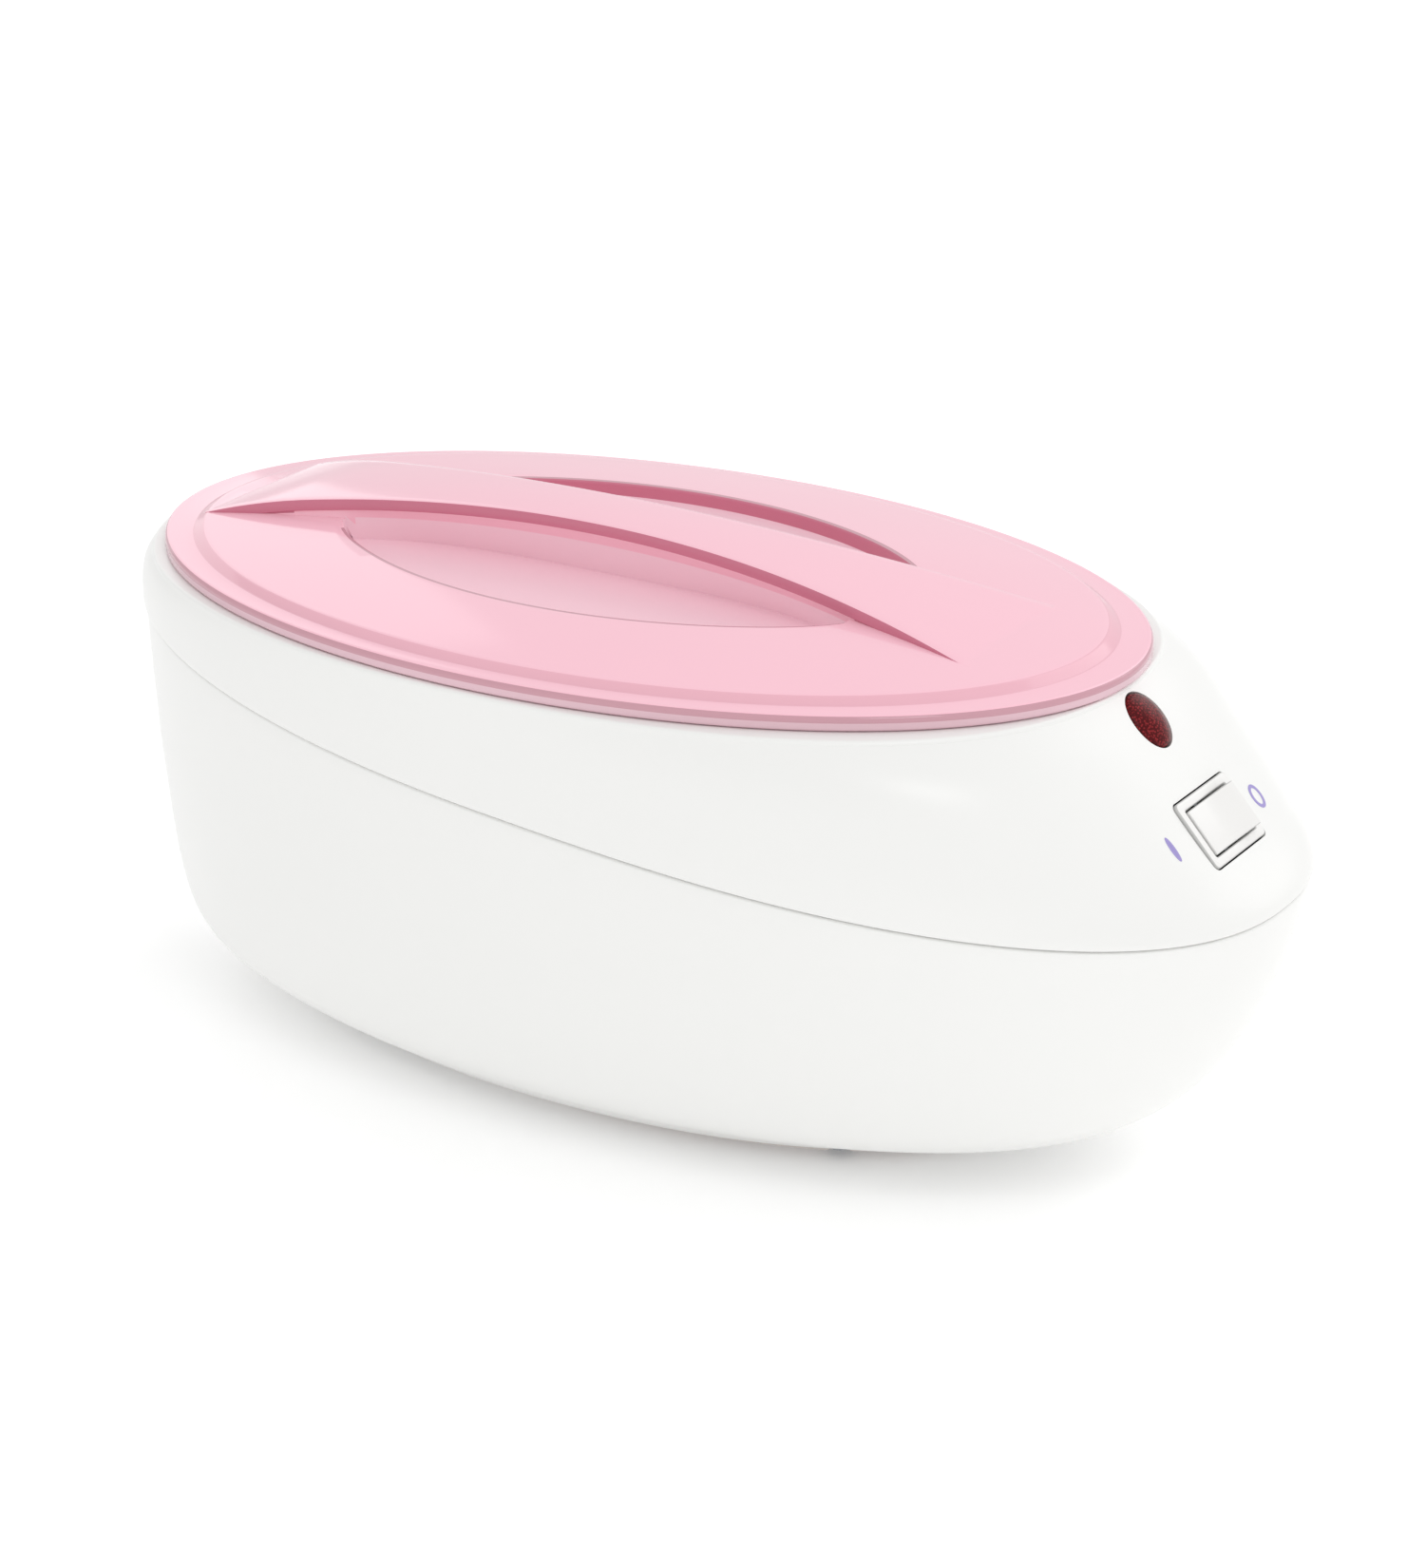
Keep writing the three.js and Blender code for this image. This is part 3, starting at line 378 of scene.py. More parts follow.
# Only the dome tint is the lid's own pink; the others are painted shade, the pocket's with a painted glow.
LID_TINTS = [LID_DOME, LID_LIP_SHADE, LID_RIM_SHADE, LID_SKIRT_SHADE, LID_BAND_SHADE, LID_POCKET_SHADE_AND_GLOW]
DOME, LIP_SHADE, RIM_SHADE, SKIRT_SHADE, BAND_SHADE, POCKET_SHADE_AND_GLOW = range(6)  # places in LID_TINTS
LAMP_RED = lens_red()
MARK_INK = moulded("mark_ink", linear(158, 146, 206), 0.45, mottle=0.04, grain=1500, bump=0.05)
ALUMINIUM = moulded("basin_aluminium", linear(206, 208, 210), 0.3, mottle=0.03, grain=700, bump=0.06,
                    Metallic=1)
STEEL = moulded("zinc_steel", linear(168, 171, 176), 0.32, mottle=0.06, grain=600, bump=0.08, Metallic=1)
BRASS = moulded("brass", linear(200, 166, 88), 0.3, mottle=0.06, grain=600, bump=0.06, Metallic=1)
RUBBER = moulded("rubber", linear(176, 176, 176), 0.8, mottle=0.06, grain=420, bump=0.25)
SILICONE = moulded("silicone", linear(216, 214, 208), 0.62, mottle=0.03, grain=420, bump=0.1)
BLACK = moulded("black_plastic", linear(38, 38, 41), 0.45, mottle=0.06, grain=520, bump=0.2)
GLASS_FIBRE = moulded("glass_fibre", linear(236, 231, 214), 0.9, mottle=0.08, grain=260, bump=0.6)
PORCELAIN = moulded("porcelain", linear(234, 231, 222), 0.25, mottle=0.03, grain=300, bump=0.05)
LAMP_GLASS = moulded("lamp_glass", linear(236, 190, 160), 0.08, Transmission_Weight=0.8, IOR=1.5)
LEAD_BROWN = moulded("lead_brown", linear(110, 68, 40), 0.42, mottle=0.08, grain=500, bump=0.1)
LEAD_BLUE = moulded("lead_blue", linear(46, 94, 172), 0.42, mottle=0.08, grain=500, bump=0.1)

HIDDEN_PARTS = {
    "base_screw": STEEL,
    "clamp_screw": STEEL,
    "gland_nut": BLACK,
    "basin_gasket": SILICONE,
    "heater_rod": STEEL,
    "element_clamp": STEEL,
    "insulation_band": GLASS_FIBRE,
    "thermostat_cap": STEEL,
    "thermostat_body": PORCELAIN,
    "thermostat_bracket": STEEL,
    "thermal_fuse": STEEL,
    "fuse_sleeve": GLASS_FIBRE,
    "terminal_block": PORCELAIN,
    "rocker_pin": STEEL,
    "switch_terminal": BRASS,
    "lamp_holder": BLACK,
    "neon_bulb": LAMP_GLASS,
    "switch_lead": LEAD_BROWN,
    "heater_lead": LEAD_BLUE,
    "lamp_lead": LEAD_BLUE,
}


def finish_cad_nodes():
    """The inner pieces keep their CAD shape and get their real material."""
    for name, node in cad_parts.items():
        for start, material in HIDDEN_PARTS.items():
            if name.startswith(start):
                node.data.materials.clear()
                node.data.materials.append(material)


# ------------------------------------------------------------------ housings

def housing_point(angle, z, inset=0.0):
    """A point of the housing's outline at a height, moved in by the inset."""
    right = nose_reach(z)
    left = tail_reach(z)
    fullness = nose_fullness(z) if math.cos(angle) > 0 else TAIL_FULLNESS
    x = (right + left) / 2 + ((right - left) / 2 - inset) * round_power(math.cos(angle), 2 / fullness)
    y = (side_reach(z) - inset) * round_power(math.sin(angle), 2 / fullness)
    return x, y, z


def seam_height(angle):
    """Height where the housing's outline at an angle meets the sloping seam plane."""
    low, high = 60.0, 140.0
    for _ in range(22):
        middle = (low + high) / 2
        if middle > SEAM_HEIGHT + SEAM_SLOPE * housing_point(angle, middle)[0]:
            high = middle
        else:
            low = middle
    return (low + high) / 2


SEAM = [seam_height(i / ROUND * TAU) for i in range(ROUND)]


def seam_at(angle):
    """Seam height on the nearest of the outline's points."""
    return SEAM[round(angle / TAU * ROUND) % ROUND]


def lower_housing():
    """The tub: a flared wall that rises to a rounded edge at the seam, open below for the base plate."""
    rings = [oval(*ACCESS_HOLE, FLOOR_BOTTOM)]
    for i in range(60):
        rise = (i / 59) ** 1.7
        rings.append(ring(lambda t: housing_point(
            t, lerp(FLOOR_BOTTOM, seam_at(t) - SEAM_GAP / 2 - SEAM_EDGE, rise), OVERHANG)))
    for inset, climb in SEAM_EDGE_STEPS:
        rings.append(ring(lambda t: housing_point(
            t, seam_at(t) - SEAM_GAP / 2 - SEAM_EDGE + climb, OVERHANG + inset)))
    for fall in (0.0, 0.1, 0.25, 0.45, 0.65, 0.8, 0.9, 1.0):
        def inner(t):
            z = lerp(seam_at(t) - SEAM_GAP / 2, FLOOR_BOTTOM + WALL, fall)
            x, y, _ = housing_point(t, max(z - WALL * fall, FLOOR_BOTTOM), OVERHANG + WALL)
            return x, y, z
        rings.append(ring(inner))
    rings.append(oval(*ACCESS_HOLE, FLOOR_BOTTOM + WALL))
    piece = loft("tub_shell", rings, looped=True, sharp_degrees=40)
    hole = turned("gland_hole", [(0, -12), (5.8, -12), (5.8, 12), (0, 12)], 48)
    combine(piece, place(hole, TAIL_FRAME), "DIFFERENCE")
    dress(piece, "base", "lower_housing", "housing_white", WHITE)


TAIL_FRAME = Matrix.Translation((-185.8, 0, 40)) @ Matrix.Rotation(-math.pi / 2, 4, "Y")


def nose_frame(at, slope):
    """Local frame on the nose face: X down the slope, Y across, Z out of the face."""
    normal = Vector((math.sin(slope), 0, math.cos(slope)))
    down = Vector((math.cos(slope), 0, -math.sin(slope)))
    basis = Matrix((down, Vector((0, 1, 0)), normal)).transposed().to_4x4()
    return Matrix.Translation(at) @ basis


def switch_frame():
    return nose_frame(SWITCH_AT, SWITCH_SLOPE)


def lamp_frame():
    """The lens is longer down the slope than across it."""
    return nose_frame(LAMP_AT, LAMP_SLOPE) @ Matrix.Diagonal((LAMP_STRETCH, 1, 1, 1))


def upper_housing():
    """The collar: deck, recess for the basin, a sloping skin down to the seam, and an inner tongue."""
    deck_round = 1.2
    edge = DECK - deck_round
    tongue_outer = OVERHANG + WALL + 0.8
    tongue_wall = 2
    tongue_depth = 5
    rings = [
        ring(lambda t: housing_point(t, seam_at(t) - tongue_depth, tongue_outer)),
        ring(lambda t: housing_point(t, seam_at(t) + SEAM_GAP / 2, tongue_outer)),
    ]
    for inset, climb in reversed(SEAM_EDGE_STEPS):
        rings.append(ring(lambda t: housing_point(t, seam_at(t) + SEAM_GAP / 2 + SEAM_EDGE - climb, inset)))
    for i in range(56):
        rise = i / 55
        def outer(t):
            z = lerp(seam_at(t) + SEAM_GAP / 2 + SEAM_EDGE, edge, rise)
            return housing_point(t, z)
        rings.append(ring(outer))
    for inset, climb in arc(deck_round, 0, deck_round, 165, 90, 6):
        rings.append(ring(lambda t: housing_point(t, edge, inset)[:2] + (edge + climb,)))
    underside = RECESS[2] - WALL
    rings += [
        oval(LID_X, RECESS[0] + 0.5, RECESS[1] + 0.5, DECK),
        oval(LID_X, RECESS[0], RECESS[1], DECK - 0.5),
        oval(LID_X, RECESS[0], RECESS[1], RECESS[2]),
        oval(LID_X, *MOUTH, RECESS[2]),
        oval(LID_X, *MOUTH, underside),
    ]
    for fall in (0.0, 0.25, 0.5, 0.75, 1.0):
        rings.append(ring(lambda t: housing_point(t, lerp(underside, seam_at(t) + SEAM_GAP / 2, fall), WALL)))
    rings.append(ring(lambda t: housing_point(t, seam_at(t) - tongue_depth, tongue_outer + tongue_wall)))
    piece = loft("collar_shell", rings, looped=True, sharp_degrees=40)

    rims = [rounded_rect(BEZEL[0] + 2 * FACE_GAP, BEZEL[1] + 2 * FACE_GAP, 1.9, z) for z in (-15, 15)]
    combine(piece, place(loft("aperture", rims), switch_frame()), "DIFFERENCE")
    reach = LAMP_RADIUS + FACE_GAP
    seat = 8.3  # clears the flange behind the lens
    bore = [(0, -20), (seat, -20), (seat, -4.4), (reach, -4.4), (reach, 12), (0, 12)]
    combine(piece, place(turned("lamp_bore", bore), lamp_frame()), "DIFFERENCE")
    dress(piece, "base", "upper_housing", "housing_white", WHITE)
    return piece


def base_plate():
    """Oval plate under the tub with a rounded lower edge, foot sockets, screw holes and vent slots."""
    x, a, b, bottom, top = BASE_PLATE
    soft = 1.2
    head_seat = bottom + 1.2
    rings = [oval(x, a - soft, b - soft, bottom)]
    rings += [oval(x, a - soft + r, b - soft + r, bottom + soft + z) for r, z in arc(0, 0, soft, -75, 0, 5)]
    rings.append(oval(x, a, b, top))
    piece = loft("bottom_plate", rings)
    socket = [(0, -1), (8.3, -1), (8.3, 3.6), (0, 3.6)]
    for fx, fy in FEET:
        hole = place(turned("socket", socket, 48), Matrix.Translation((fx, fy, 0)))
        combine(piece, hole, "DIFFERENCE")
    screw_hole = [(0, -1), (4.6, -1), (4.6, head_seat), (2.1, head_seat), (2.1, 8), (0, 8)]
    for sx, sy in PLATE_SCREWS:
        hole = place(turned("screw_hole", screw_hole, 40), Matrix.Translation((sx, sy, 0)))
        combine(piece, hole, "DIFFERENCE")
    for row in VENT_ROWS:
        slot = loft("vent", [rounded_rect(34, 2.4, 1.1, z) for z in (0, 10)])
        combine(piece, place(slot, Matrix.Translation((x, row, 0))), "DIFFERENCE")
    dress(piece, "base", "base_plate", "housing_white", PLATE_WHITE)


def rubber_feet():
    """Round pads with a soft edge and a shallow dimple in the sole."""
    profile = [(0, 0.35), (3.2, 0.3), (4.6, 0)] + arc(7.2, 0.8, 0.8, -90, 0) + [(8, 3.4), (0, 3.4)]
    for i, (x, y) in enumerate(FEET):
        piece = turned(f"foot_pad_{i + 1}", profile, 48)
        place(piece, Matrix.Translation((x, y, 0)))
        dress(piece, "base", f"rubber_foot_{i + 1}", "rubber", RUBBER)


def cord_gland():
    """Bush in the tail wall, with a rounded flange and an open bore."""
    profile = [(3.3, -9), (5.4, -9), (5.4, 1), (8.2, 1)]
    profile += arc(8.0, 1.6, 0.6, -60, 90) + [(6.3, 2.7), (5.2, 3.3)]
    profile += arc(4.1, 3.5, 0.6, 60, 150) + [(3.3, 3.2)]
    piece = place(turned("inlet_bush", profile), TAIL_FRAME)
    dress(piece, "base", "cord_gland", "black_plastic", BLACK)


# ------------------------------------------------------------------ basin

def basin_reach(z):
    """Half length and half width of the basin's inside: a straight draft, then a round to the floor."""
    depth = max(0.0, min(1.0, (BASIN_TOP - z) / (BASIN_TOP - BASIN_FLOOR)))
    above = max(0.0, 1 - (z - BASIN_FLOOR) / BASIN_ROUND)
    curl = BASIN_ROUND * (1 - math.sqrt(max(0.0, 1 - above * above)))
    return [mouth - draft * depth - curl for mouth, draft in zip(BASIN_MOUTH, BASIN_DRAFT)]


def wax_basin():
    """Pressed bowl with a rolled flange."""
    def at(z, grow, drop=0.0):
        a, b = basin_reach(z)
        return oval(LID_X, a + grow, b + grow, z - drop)
    lows = [BASIN_FLOOR + BASIN_ROUND * (1 - math.cos(i / 14 * math.pi / 2)) for i in range(15)]
    heights = lows + [75, 100, 125, 140]
    wall_foot = BASIN_FLOOR + BASIN_ROUND
    top = BASIN_TOP
    reach = (RECESS[0] - 1.0, RECESS[1] - 1.0)
    rings = [at(z, BASIN_WALL, BASIN_WALL if z < wall_foot else 0) for z in heights]
    rings.append(at(top - BASIN_WALL, BASIN_WALL))
    for r, z in arc(0, 0, 0.7, -90, 90, 8):
        rings.append(oval(LID_X, reach[0] + r, reach[1] + r, top - 0.7 + z))
    rings += [at(top, 1.3), at(top - 0.35, 0.45), at(top - 1.2, 0)]
    rings += [at(z, 0) for z in reversed(heights)]
    piece = loft("basin_bowl", rings)
    dress(piece, "base", "wax_basin", "basin_aluminium", ALUMINIUM)


# ------------------------------------------------------------------ switch and lamp

def switch_bezel():
    """Flat frame round the rocker, flush in the nose, with its body behind."""
    length, width = BEZEL
    top = BEZEL_PROUD
    soft = 0.5
    rings = [rounded_rect(length - 3, width - 3, 0.8, top - depth) for depth in (15, 3.4)]
    rings.append(rounded_rect(length, width, 1.6, top - 3.4))
    for inset, climb in arc(soft, 0, soft, 180, 90, 4):
        corner = 1.6 - inset * 0.5
        rings.append(rounded_rect(length - 2 * inset, width - 2 * inset, corner, top - soft + climb))
    for inset, climb in arc(-soft, 0, soft, 90, 0, 4):
        rings.append(rounded_rect(WELL[0] - 2 * inset, WELL[1] - 2 * inset, 0.9, top - soft + climb))
    rings.append(rounded_rect(WELL[0], WELL[1], 0.9, top - 12))
    rings.append(rounded_rect(WELL[0] - 4, WELL[1] - 4, 0.5, top - 12))
    rings.append(rounded_rect(WELL[0] - 4, WELL[1] - 4, 0.5, top - 15))
    piece = loft("switch_frame", rings, looped=True)
    dress(piece, "base", "switch_bezel", "switch_white", SWITCH_WHITE, SWITCH_EDGE_SHADE)
    # Its sloped and side faces take the greyer white: painted shade outlining the frame.
    for face in piece.data.polygons:
        face.material_index = int(abs(face.normal.z) < 0.93)
    place(piece, switch_frame())


def rocker():
    """Rocker key with a shallow V face; the rest pose has the -Y end pressed in."""
    half = ROCKER[1] / 2
    crown = ROCKER_DEPTH + 1.1
    rise = half * math.tan(ROCKER_TILT)
    outline = [(-half, crown + rise - 2.2), (-half * 0.5, -1)] + arc(0, 0, 3, 207, 333, 8)
    outline += [(half * 0.5, -1), (half, crown + rise - 2.2), (half, crown + rise)]
    face = [(half * s, crown + rise * abs(s) ** 1.25) for s in (0.75, 0.5, 0.25, 0, -0.25, -0.5, -0.75)]
    outline += face + [(-half, crown + rise)]
    length = ROCKER[0]
    rings = [[(x, y, z) for y, z in outline] for x in (-length / 2, length / 2)]
    piece = loft("rocker_key", rings)
    bevel(piece, 0.45, 3)
    at = switch_frame() @ Matrix.Translation((0, 0, -ROCKER_DEPTH)) @ Matrix.Rotation(ROCKER_TILT, 4, "X")
    dress(piece, "rocker", "rocker", "switch_white", SWITCH_WHITE, SWITCH_EDGE_SHADE)
    # Its end faces take the greyer white: painted shade on the key's ends.
    for face in piece.data.polygons:
        face.material_index = int(abs(face.normal.x) > 0.5)
    place(piece, at)


def lamp_lens():
    """Low-domed lens with a rear flange."""
    sphere = 13.0  # radius of the dome
    dome_top = 2.2
    dome_edge = 6.9
    half = math.degrees(math.asin(dome_edge / sphere))
    dome = arc(0, dome_top - sphere, sphere, 90, 90 - half, 10)
    edge = [(LAMP_RADIUS - 0.15, -0.2), (LAMP_RADIUS, -0.7)]
    back = [(LAMP_RADIUS, -4.6), (8, -5.4), (8, -6.6), (4.4, -6.6), (4.4, -1.2), (0, -0.4)]
    piece = place(turned("lens", dome + edge + back), lamp_frame())
    dress(piece, "base", "lamp_lens", "lamp_red", LAMP_RED)


def printed_mark(name, outline_rings, centre, collar_tree):
    """A thin printed mark laid on the collar's skin round a point of the nose face."""
    to_world = switch_frame()
    normal = (to_world.to_3x3() @ Vector((0, 0, 1))).normalized()
    points = []
    for lift in (-0.05, 0.12):  # just under the skin, then just over it
        for outline in outline_rings:
            for u, v in outline:
                start = to_world @ Vector((centre[0] + u, centre[1] + v, 20))
                hit = collar_tree.ray_cast(start * MM, -normal)[0] / MM
                points.append(tuple(hit + normal * lift))
    count = len(outline_rings[0])
    inner, outer, top = 0, count, 2 * count
    faces = []
    for i in range(count):
        j = (i + 1) % count
        faces.append((inner + i, inner + j, outer + j, outer + i))
        faces.append((top + outer + i, top + outer + j, top + inner + j, top + inner + i))
        faces.append((outer + i, outer + j, top + outer + j, top + outer + i))
        faces.append((top + inner + i, top + inner + j, inner + j, inner + i))
    piece = mesh_piece(name, points, faces)
    dress(piece, "base", None, None, MARK_INK)


def switch_marks(collar):
    """Generic on and off marks: a slim loop beside the pressed end, a ring beside the other."""
    tree = BVHTree.FromObject(collar, bpy.context.evaluated_depsgraph_get())
    def outline(u, v, count=48):
        return [(u * math.cos(i / count * TAU), v * math.sin(i / count * TAU)) for i in range(count)]
    printed_mark("off_mark", [outline(2.7, 2.0), outline(3.8, 3.1)], (0.9, 24.4), tree)
    printed_mark("on_mark", [outline(2.9, 0.04), outline(3.9, 1.0)], (-1.2, -25.8), tree)


# ------------------------------------------------------------------ lid

def dome_height(fraction):
    """Height of the dome above the rim's top, from 0 at the middle to 1 at the lid's outline."""
    f = min(fraction / RING_STEP, 1)
    return DOME_FOOT + DOME_RISE * (1 - f * f)


def dome_over(x, y):
    """Height of the dome's skin over a point of the lid."""
    return dome_height(math.hypot(x / LID_A, y / LID_B))


def ridge_top(x):
    """Top edge of the ridge, which falls faster over the last stretch to its tail tip."""
    start, length, drop = RIDGE_TIP
    arch = RIDGE_CREST - RIDGE_FALL * ((x - RIDGE_CREST_AT) / RIDGE_REACH) ** 2
    return arch - drop * max((start - x) / length, 0) ** 2


def ridge_half(x):
    """Half width of the ridge, narrowest at its waist."""
    return RIDGE_WAIST + RIDGE_SPREAD[x > 0] * (x / RIDGE_REACH) ** 2


def pocket_edge(x):
    """Distance of the pocket's curved outer edge from the long axis."""
    along = (x - POCKET_CENTRE) / POCKET_HALF
    return ridge_half(x) + POCKET_WIDTH * max(1 - along * along, 0) ** 0.8


def spaced(start, end, count):
    """Stations that crowd towards both ends."""
    return [lerp(start, end, (1 - math.cos(i / (count - 1) * math.pi)) / 2) for i in range(count)]


def along_lid(name, stations, section):
    """Loft of YZ sections, in the lid's own frame with heights above the rim's top."""
    return loft(name, [[(x, y, RIM_TOP + z) for y, z in section(x)] for x in stations])


def lid_shell():
    """Dome, ring step, flange, rounded rim and locating rib, as one closed skin."""
    def at(fraction, z):
        return oval(0, LID_A * fraction, LID_B * fraction, z)
    def inset(distance, z):
        return oval(0, LID_A - distance, LID_B - distance, z)
    def rib(grow, z):
        return oval(0, RIB[0] + grow, RIB[1] + grow, z)
    underside = RIM_TOP - LID_WALL
    dome = [0.04 + 0.865 * (i / 26) for i in range(27)]
    rings = [at(f, RIM_TOP + dome_height(f) - LID_WALL) for f in dome if f < 0.87]
    rings += [rib(-1, underside), rib(-1, RIB[2] + 0.3), rib(-0.6, RIB[2])]
    rings += [rib(0.6, RIB[2]), rib(1, RIB[2] + 0.3), rib(1, underside)]
    rings += [inset(3.4, underside), inset(3.4, RIM_BOTTOM + 0.2), inset(3.2, RIM_BOTTOM)]
    rings += [inset(0.9, RIM_BOTTOM)]
    rings += [inset(0.9 - r, RIM_BOTTOM + 0.9 + z) for r, z in arc(0, 0, 0.9, -70, 0, 4)]
    rings += [inset(0.12, RIM_BOTTOM + 1.9), inset(0.0, RIM_BOTTOM + 2.4)]
    rings += [inset(1.5 - r, RIM_TOP - 1.5 + z) for r, z in arc(0, 0, 1.5, 0, 90, 8)]
    rings += [at(RING_STEP + 0.014, RIM_TOP + 0.05), at(RING_STEP + 0.011, RIM_TOP + 0.2)]
    rings.append(at(RING_STEP - 0.006, RIM_TOP + 1.9))
    rings.append(at(RING_STEP - 0.01, RIM_TOP + dome_height(RING_STEP - 0.01)))
    rings += [at(f, RIM_TOP + dome_height(f)) for f in reversed(dome)]
    return loft("lid_skin", rings)


def dome_body(bottom):
    """Everything between the dome's outer skin and a flat bottom."""
    fractions = [0.9 - 0.86 * i / 24 for i in range(25)]
    skin = [oval(0, LID_A * f, LID_B * f, RIM_TOP + dome_height(f) - 0.03) for f in fractions]
    return loft("dome_body", [oval(0, LID_A * 0.9, LID_B * 0.9, bottom)] + skin)


def ridge_section(x, inset):
    """Ridge with a rounded lip over walls that draw in towards the pocket floor."""
    top = max(ridge_top(x), 0.5) - inset
    half = ridge_half(x) - inset
    along = min(abs((x - POCKET_CENTRE) / POCKET_HALF), 1)
    foot = lerp(5, ridge_half(x), along ** 3) - inset
    bottom = POCKET_FLOOR - LID_WALL - inset if along < 1 or inset else dome_over(x, half) - 1.4
    lip = max(top - RIDGE_LIP, bottom + 0.6)
    low = max(POCKET_FLOOR, bottom + 0.2)
    side = [(foot, bottom), (foot, low)]
    side += [(lerp(foot, half - 0.6, s), lerp(low, lip, s)) for s in (0.25, 0.5, 0.75)]
    side += [(half - 0.6, lip), (half - 0.2, lip + 0.08), (half, lip + 0.3)]
    side.append((half, max(top - 0.6, lip + 0.35)))
    side += [(half - 0.18, top - 0.17), (half - 0.6, top)]
    side += [(half * s, top + 0.5 * (1 - s * s)) for s in (0.85, 0.6, 0.35, 0.15)]
    return side + [(0, top + 0.5)] + [(-y, z) for y, z in reversed(side)]


def pocket_section(x, side, grow, bottom, lip_round):
    """Half of the recess beside the ridge, from the long axis out to its curved edge."""
    floor_round = 3
    soft = 1.2
    brim_width = 1.9
    outer = max(pocket_edge(x) + grow, 1.5)
    edge = dome_over(x, outer)
    foot = max(outer - floor_round, 1.3)
    corner = arc(outer - floor_round, bottom + floor_round, floor_round, -75, 0, 5)
    points = [(1, bottom), (foot, bottom)] + [(max(y, 1.32), z) for y, z in corner]
    if lip_round:
        beyond = outer + brim_width
        points += arc(outer + soft, edge - soft, soft, 180, 130, 4)
        points += [(beyond, dome_over(x, beyond) + 0.01), (beyond + 0.05, LID_CLEAR), (1, LID_CLEAR)]
    else:
        points += [(outer, edge), (outer, LID_CLEAR), (1, LID_CLEAR)]
    return points if side > 0 else [(-y, z) for y, z in reversed(points)]


def lid_zone(centre, normal):
    """Which of the lid's tints a face takes, from where its middle is and how it faces: the dome's own pink,
    or painted shade on the rim, ring step, lip walls and pockets, with a painted glow in the pockets.
    """
    x = centre.x / MM - LID_X
    y = abs(centre.y) / MM
    z = centre.z / MM - RIM_TOP
    out = math.hypot(x / LID_A, y / LID_B)
    depth = dome_height(out) - z
    steep = abs(normal.z) < 0.9
    # Rim's sides: painted shade, less dark on the lower part.
    if out > 0.985 and abs(normal.z) < 0.8:
        return RIM_SHADE if z > -2.1 else SKIRT_SHADE
    # Ring step: a band of painted shade.
    if abs(out - RING_STEP - 0.002) < 0.0125 and normal.z > 0 and z < 2.5:
        return BAND_SHADE
    past_edge = y - pocket_edge(x)
    near_pocket = abs(x - POCKET_CENTRE) < POCKET_HALF + 1 and out < 0.9
    # Brim round each pocket: painted shade, deepest right at the edge.
    if near_pocket and x > POCKET_TIP and 0.03 < depth < 1.2 and -0.1 < past_edge < 1.9:
        return LIP_SHADE if past_edge < 0.6 else RIM_SHADE
    # Pocket: painted shade with a painted glow; its steep outer wall takes the deep painted shade.
    in_pocket = near_pocket and y > ridge_half(x) - 9 and past_edge < 0.9 and depth > 0.35
    if in_pocket and POCKET_FLOOR - 0.3 < z < ridge_top(x) - 4:
        on_outer_wall = past_edge > -1.2 and depth < 3.4 and x > POCKET_TIP
        return LIP_SHADE if on_outer_wall and steep else POCKET_SHADE_AND_GLOW
    # Steep walls under the ridge's lip: deep painted shade.
    on_lip = abs(y - ridge_half(x)) < 0.75 and ridge_top(x) - RIDGE_LIP - 0.3 < z < ridge_top(x) - 0.05
    return LIP_SHADE if on_lip and steep else DOME


def lid():
    """The lid: shell, finger pockets and pinch ridge joined into one body."""
    ends = (POCKET_CENTRE - POCKET_HALF, POCKET_CENTRE + POCKET_HALF)
    tub_floor = POCKET_FLOOR - LID_WALL
    piece = lid_shell()
    for side in (1, -1):
        cup = along_lid("cup", spaced(ends[0] - LID_WALL, ends[1] + LID_WALL, 61),
                        lambda x: pocket_section(x, side, LID_WALL, tub_floor, False))
        combine(cup, dome_body(RIM_TOP + tub_floor - 2), "INTERSECT")
        combine(piece, cup, "UNION")
    for side in (1, -1):
        hole = along_lid("hole", spaced(ends[0] + 0.5, ends[1] - 0.5, 81),
                         lambda x: pocket_section(x, side, 0, POCKET_FLOOR, True))
        combine(piece, hole, "DIFFERENCE")
    ridge = along_lid("ridge", spaced(*RIDGE_ENDS, 121), lambda x: ridge_section(x, 0))
    wall = [oval(0, LID_A * 0.92, LID_B * 0.92, RIM_TOP + z) for z in (-10, LID_CLEAR)]
    combine(ridge, loft("ring_wall", wall), "INTERSECT")
    combine(piece, ridge, "UNION")
    hollow = along_lid("hollow", spaced(*RIDGE_HOLLOW, 81), lambda x: ridge_section(x, LID_WALL))
    combine(piece, hollow, "DIFFERENCE", sharp_degrees=28)
    place(piece, Matrix.Translation((LID_X, 0, 0)))
    piece.name = "lid_cover"
    dress(piece, "lid", "lid", "lid_pink", *LID_TINTS)
    # Each face takes the dome's own pink or a painted shade tint, by where it sits and how it faces.
    for face in piece.data.polygons:
        face.material_index = lid_zone(face.center, face.normal)


# ------------------------------------------------------------------ stage, light and camera

def floor():
    """Plain pale floor."""
    half = 6000
    sheet = mesh_piece("floor", [(-half, -half, 0), (half, -half, 0), (half, half, 0), (-half, half, 0)],
                       [(0, 1, 2, 3)])
    paper = moulded("floor_paper", linear(252, 252, 252), 0.95, mottle=0.002, bump=0.0,
                    Emission_Color=(1, 1, 1, 1), Emission_Strength=0.14)
    sheet.data.materials.append(paper)


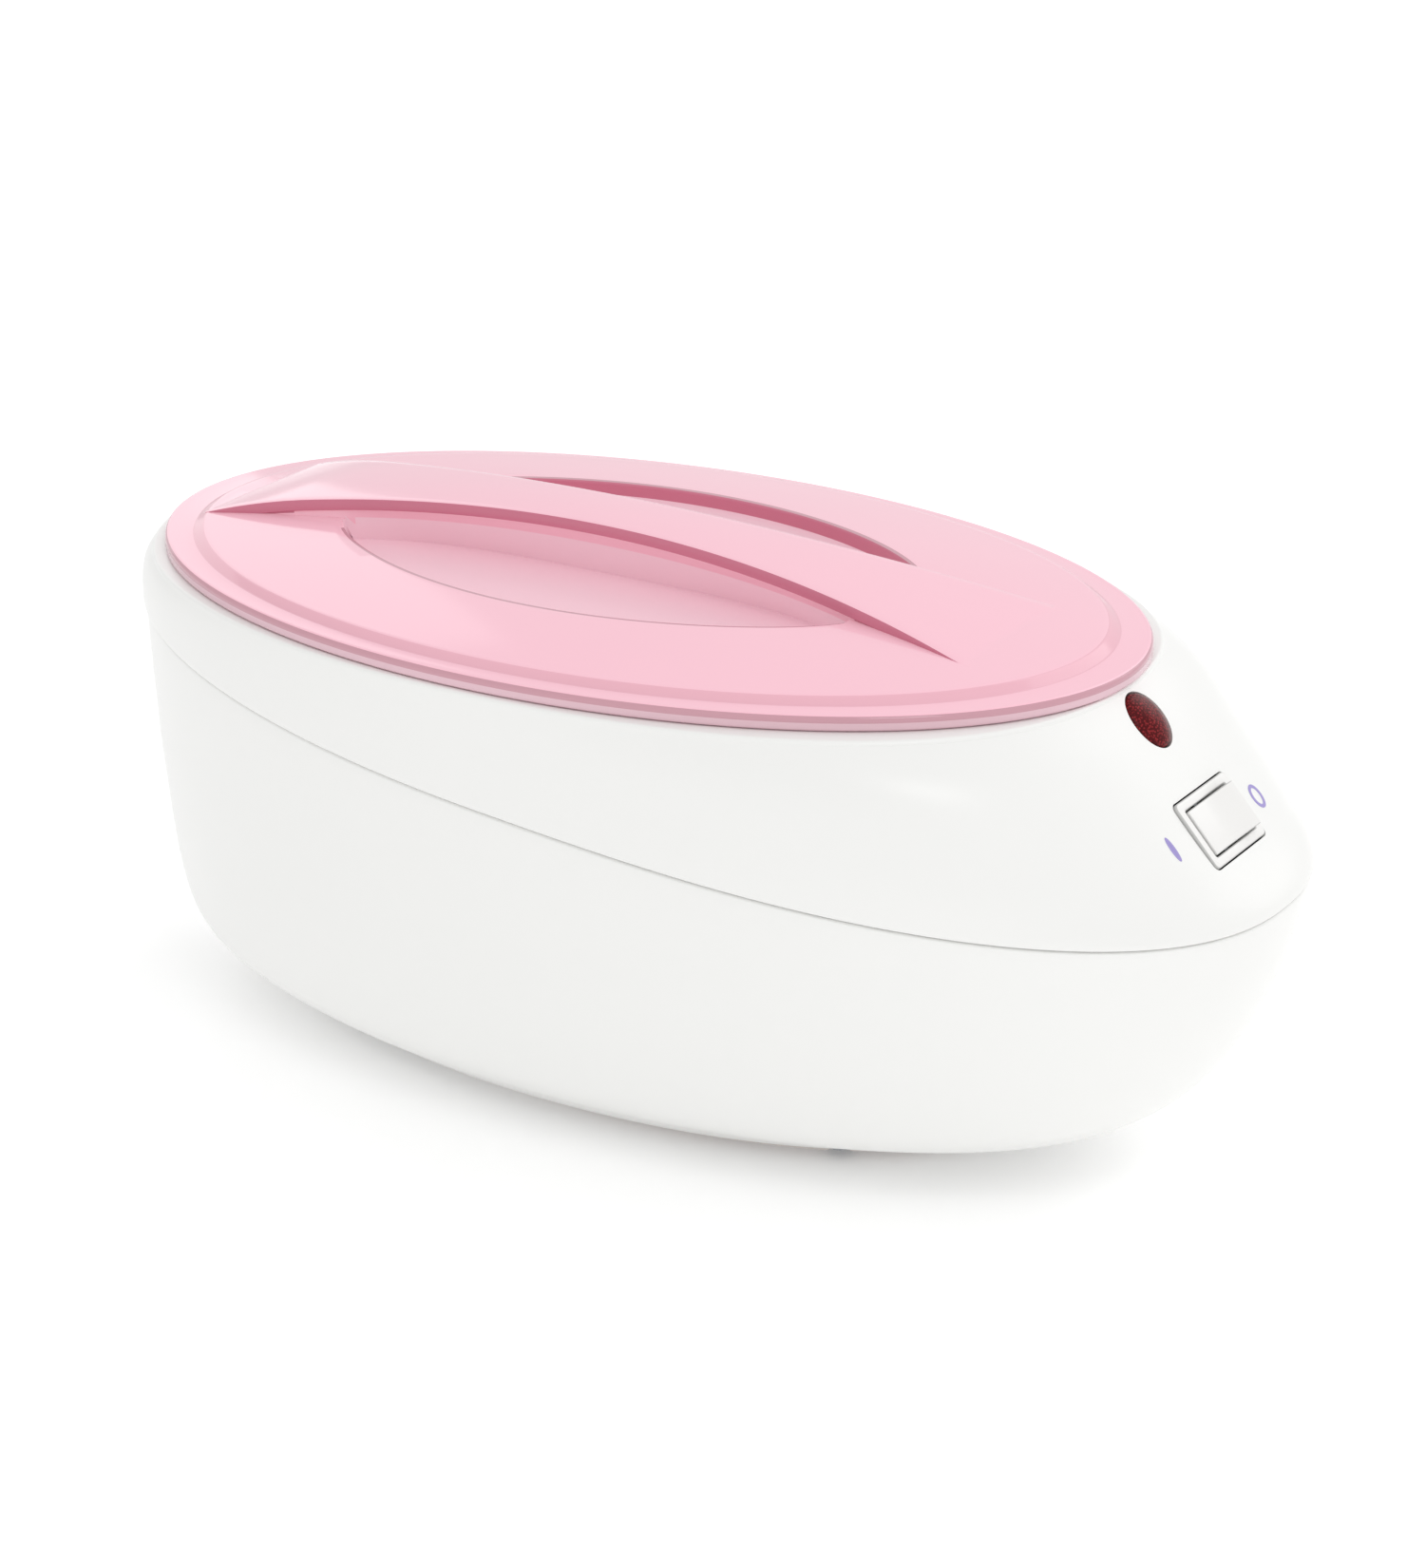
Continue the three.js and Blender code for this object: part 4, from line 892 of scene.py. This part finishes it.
def surround():
    """Near-white surround, a little darker beyond the tail."""
    world = bpy.data.worlds.new("studio")
    world.use_nodes = True
    tree = world.node_tree
    sky = tree.nodes["Background"]
    sky.inputs["Color"].default_value = (1, 1, 1, 1)
    coords = tree.nodes.new("ShaderNodeTexCoord")
    split = tree.nodes.new("ShaderNodeSeparateXYZ")
    fade = tree.nodes.new("ShaderNodeMapRange")
    fade.interpolation_type = "SMOOTHSTEP"
    fade.inputs["From Min"].default_value = -1.0
    fade.inputs["From Max"].default_value = 0.1
    fade.inputs["To Min"].default_value = 0.73
    fade.inputs["To Max"].default_value = 0.91
    tree.links.new(coords.outputs["Generated"], split.inputs["Vector"])
    tree.links.new(split.outputs["X"], fade.inputs["Value"])
    tree.links.new(fade.outputs["Result"], sky.inputs["Strength"])
    bpy.context.scene.world = world


def lights():
    """Three weak softboxes: one over the front right, one behind the nose and one behind the tail."""
    softboxes = [
        ("key", (1.1, -0.9, 1.9), 0.6, 4.3),
        ("top_back", (0.5, 1.4, 1.2), 1.2, 4.6),
        ("tail_back", (-1.5, 0.9, 0.75), 1.0, 2.1),
    ]
    for name, place_at, size, power in softboxes:
        light = bpy.data.lights.new(name, "AREA")
        light.size = size
        light.energy = power
        lamp = bpy.data.objects.new(name, light)
        lamp.location = place_at
        lamp.rotation_euler = (Vector((0, 0, 0.08)) - Vector(place_at)).to_track_quat("-Z", "Y").to_euler()
        bpy.context.scene.collection.objects.link(lamp)


def camera():
    """Long lens at the viewing angle of a product shot from the front right."""
    azimuth, elevation = math.radians(32.0), math.radians(22.04)
    distance = 1.185
    target = Vector((0.004, 0, 0.090))
    back = Vector((math.sin(azimuth) * math.cos(elevation), -math.cos(azimuth) * math.cos(elevation),
                   math.sin(elevation)))
    data = bpy.data.cameras.new("camera")
    data.sensor_fit = "AUTO"
    data.sensor_width = 36
    data.lens = 91.64
    view = bpy.data.objects.new("camera", data)
    view.location = target + back * distance
    view.rotation_euler = (-back).to_track_quat("-Z", "Y").to_euler()
    bpy.context.scene.collection.objects.link(view)
    bpy.context.scene.camera = view
    bpy.context.scene.view_settings.view_transform = "Standard"


camera()
finish_cad_nodes()
lower_housing()
collar_piece = upper_housing()
base_plate()
rubber_feet()
cord_gland()
wax_basin()
switch_bezel()
rocker()
lamp_lens()
switch_marks(collar_piece)
lid()
floor()
surround()
lights()
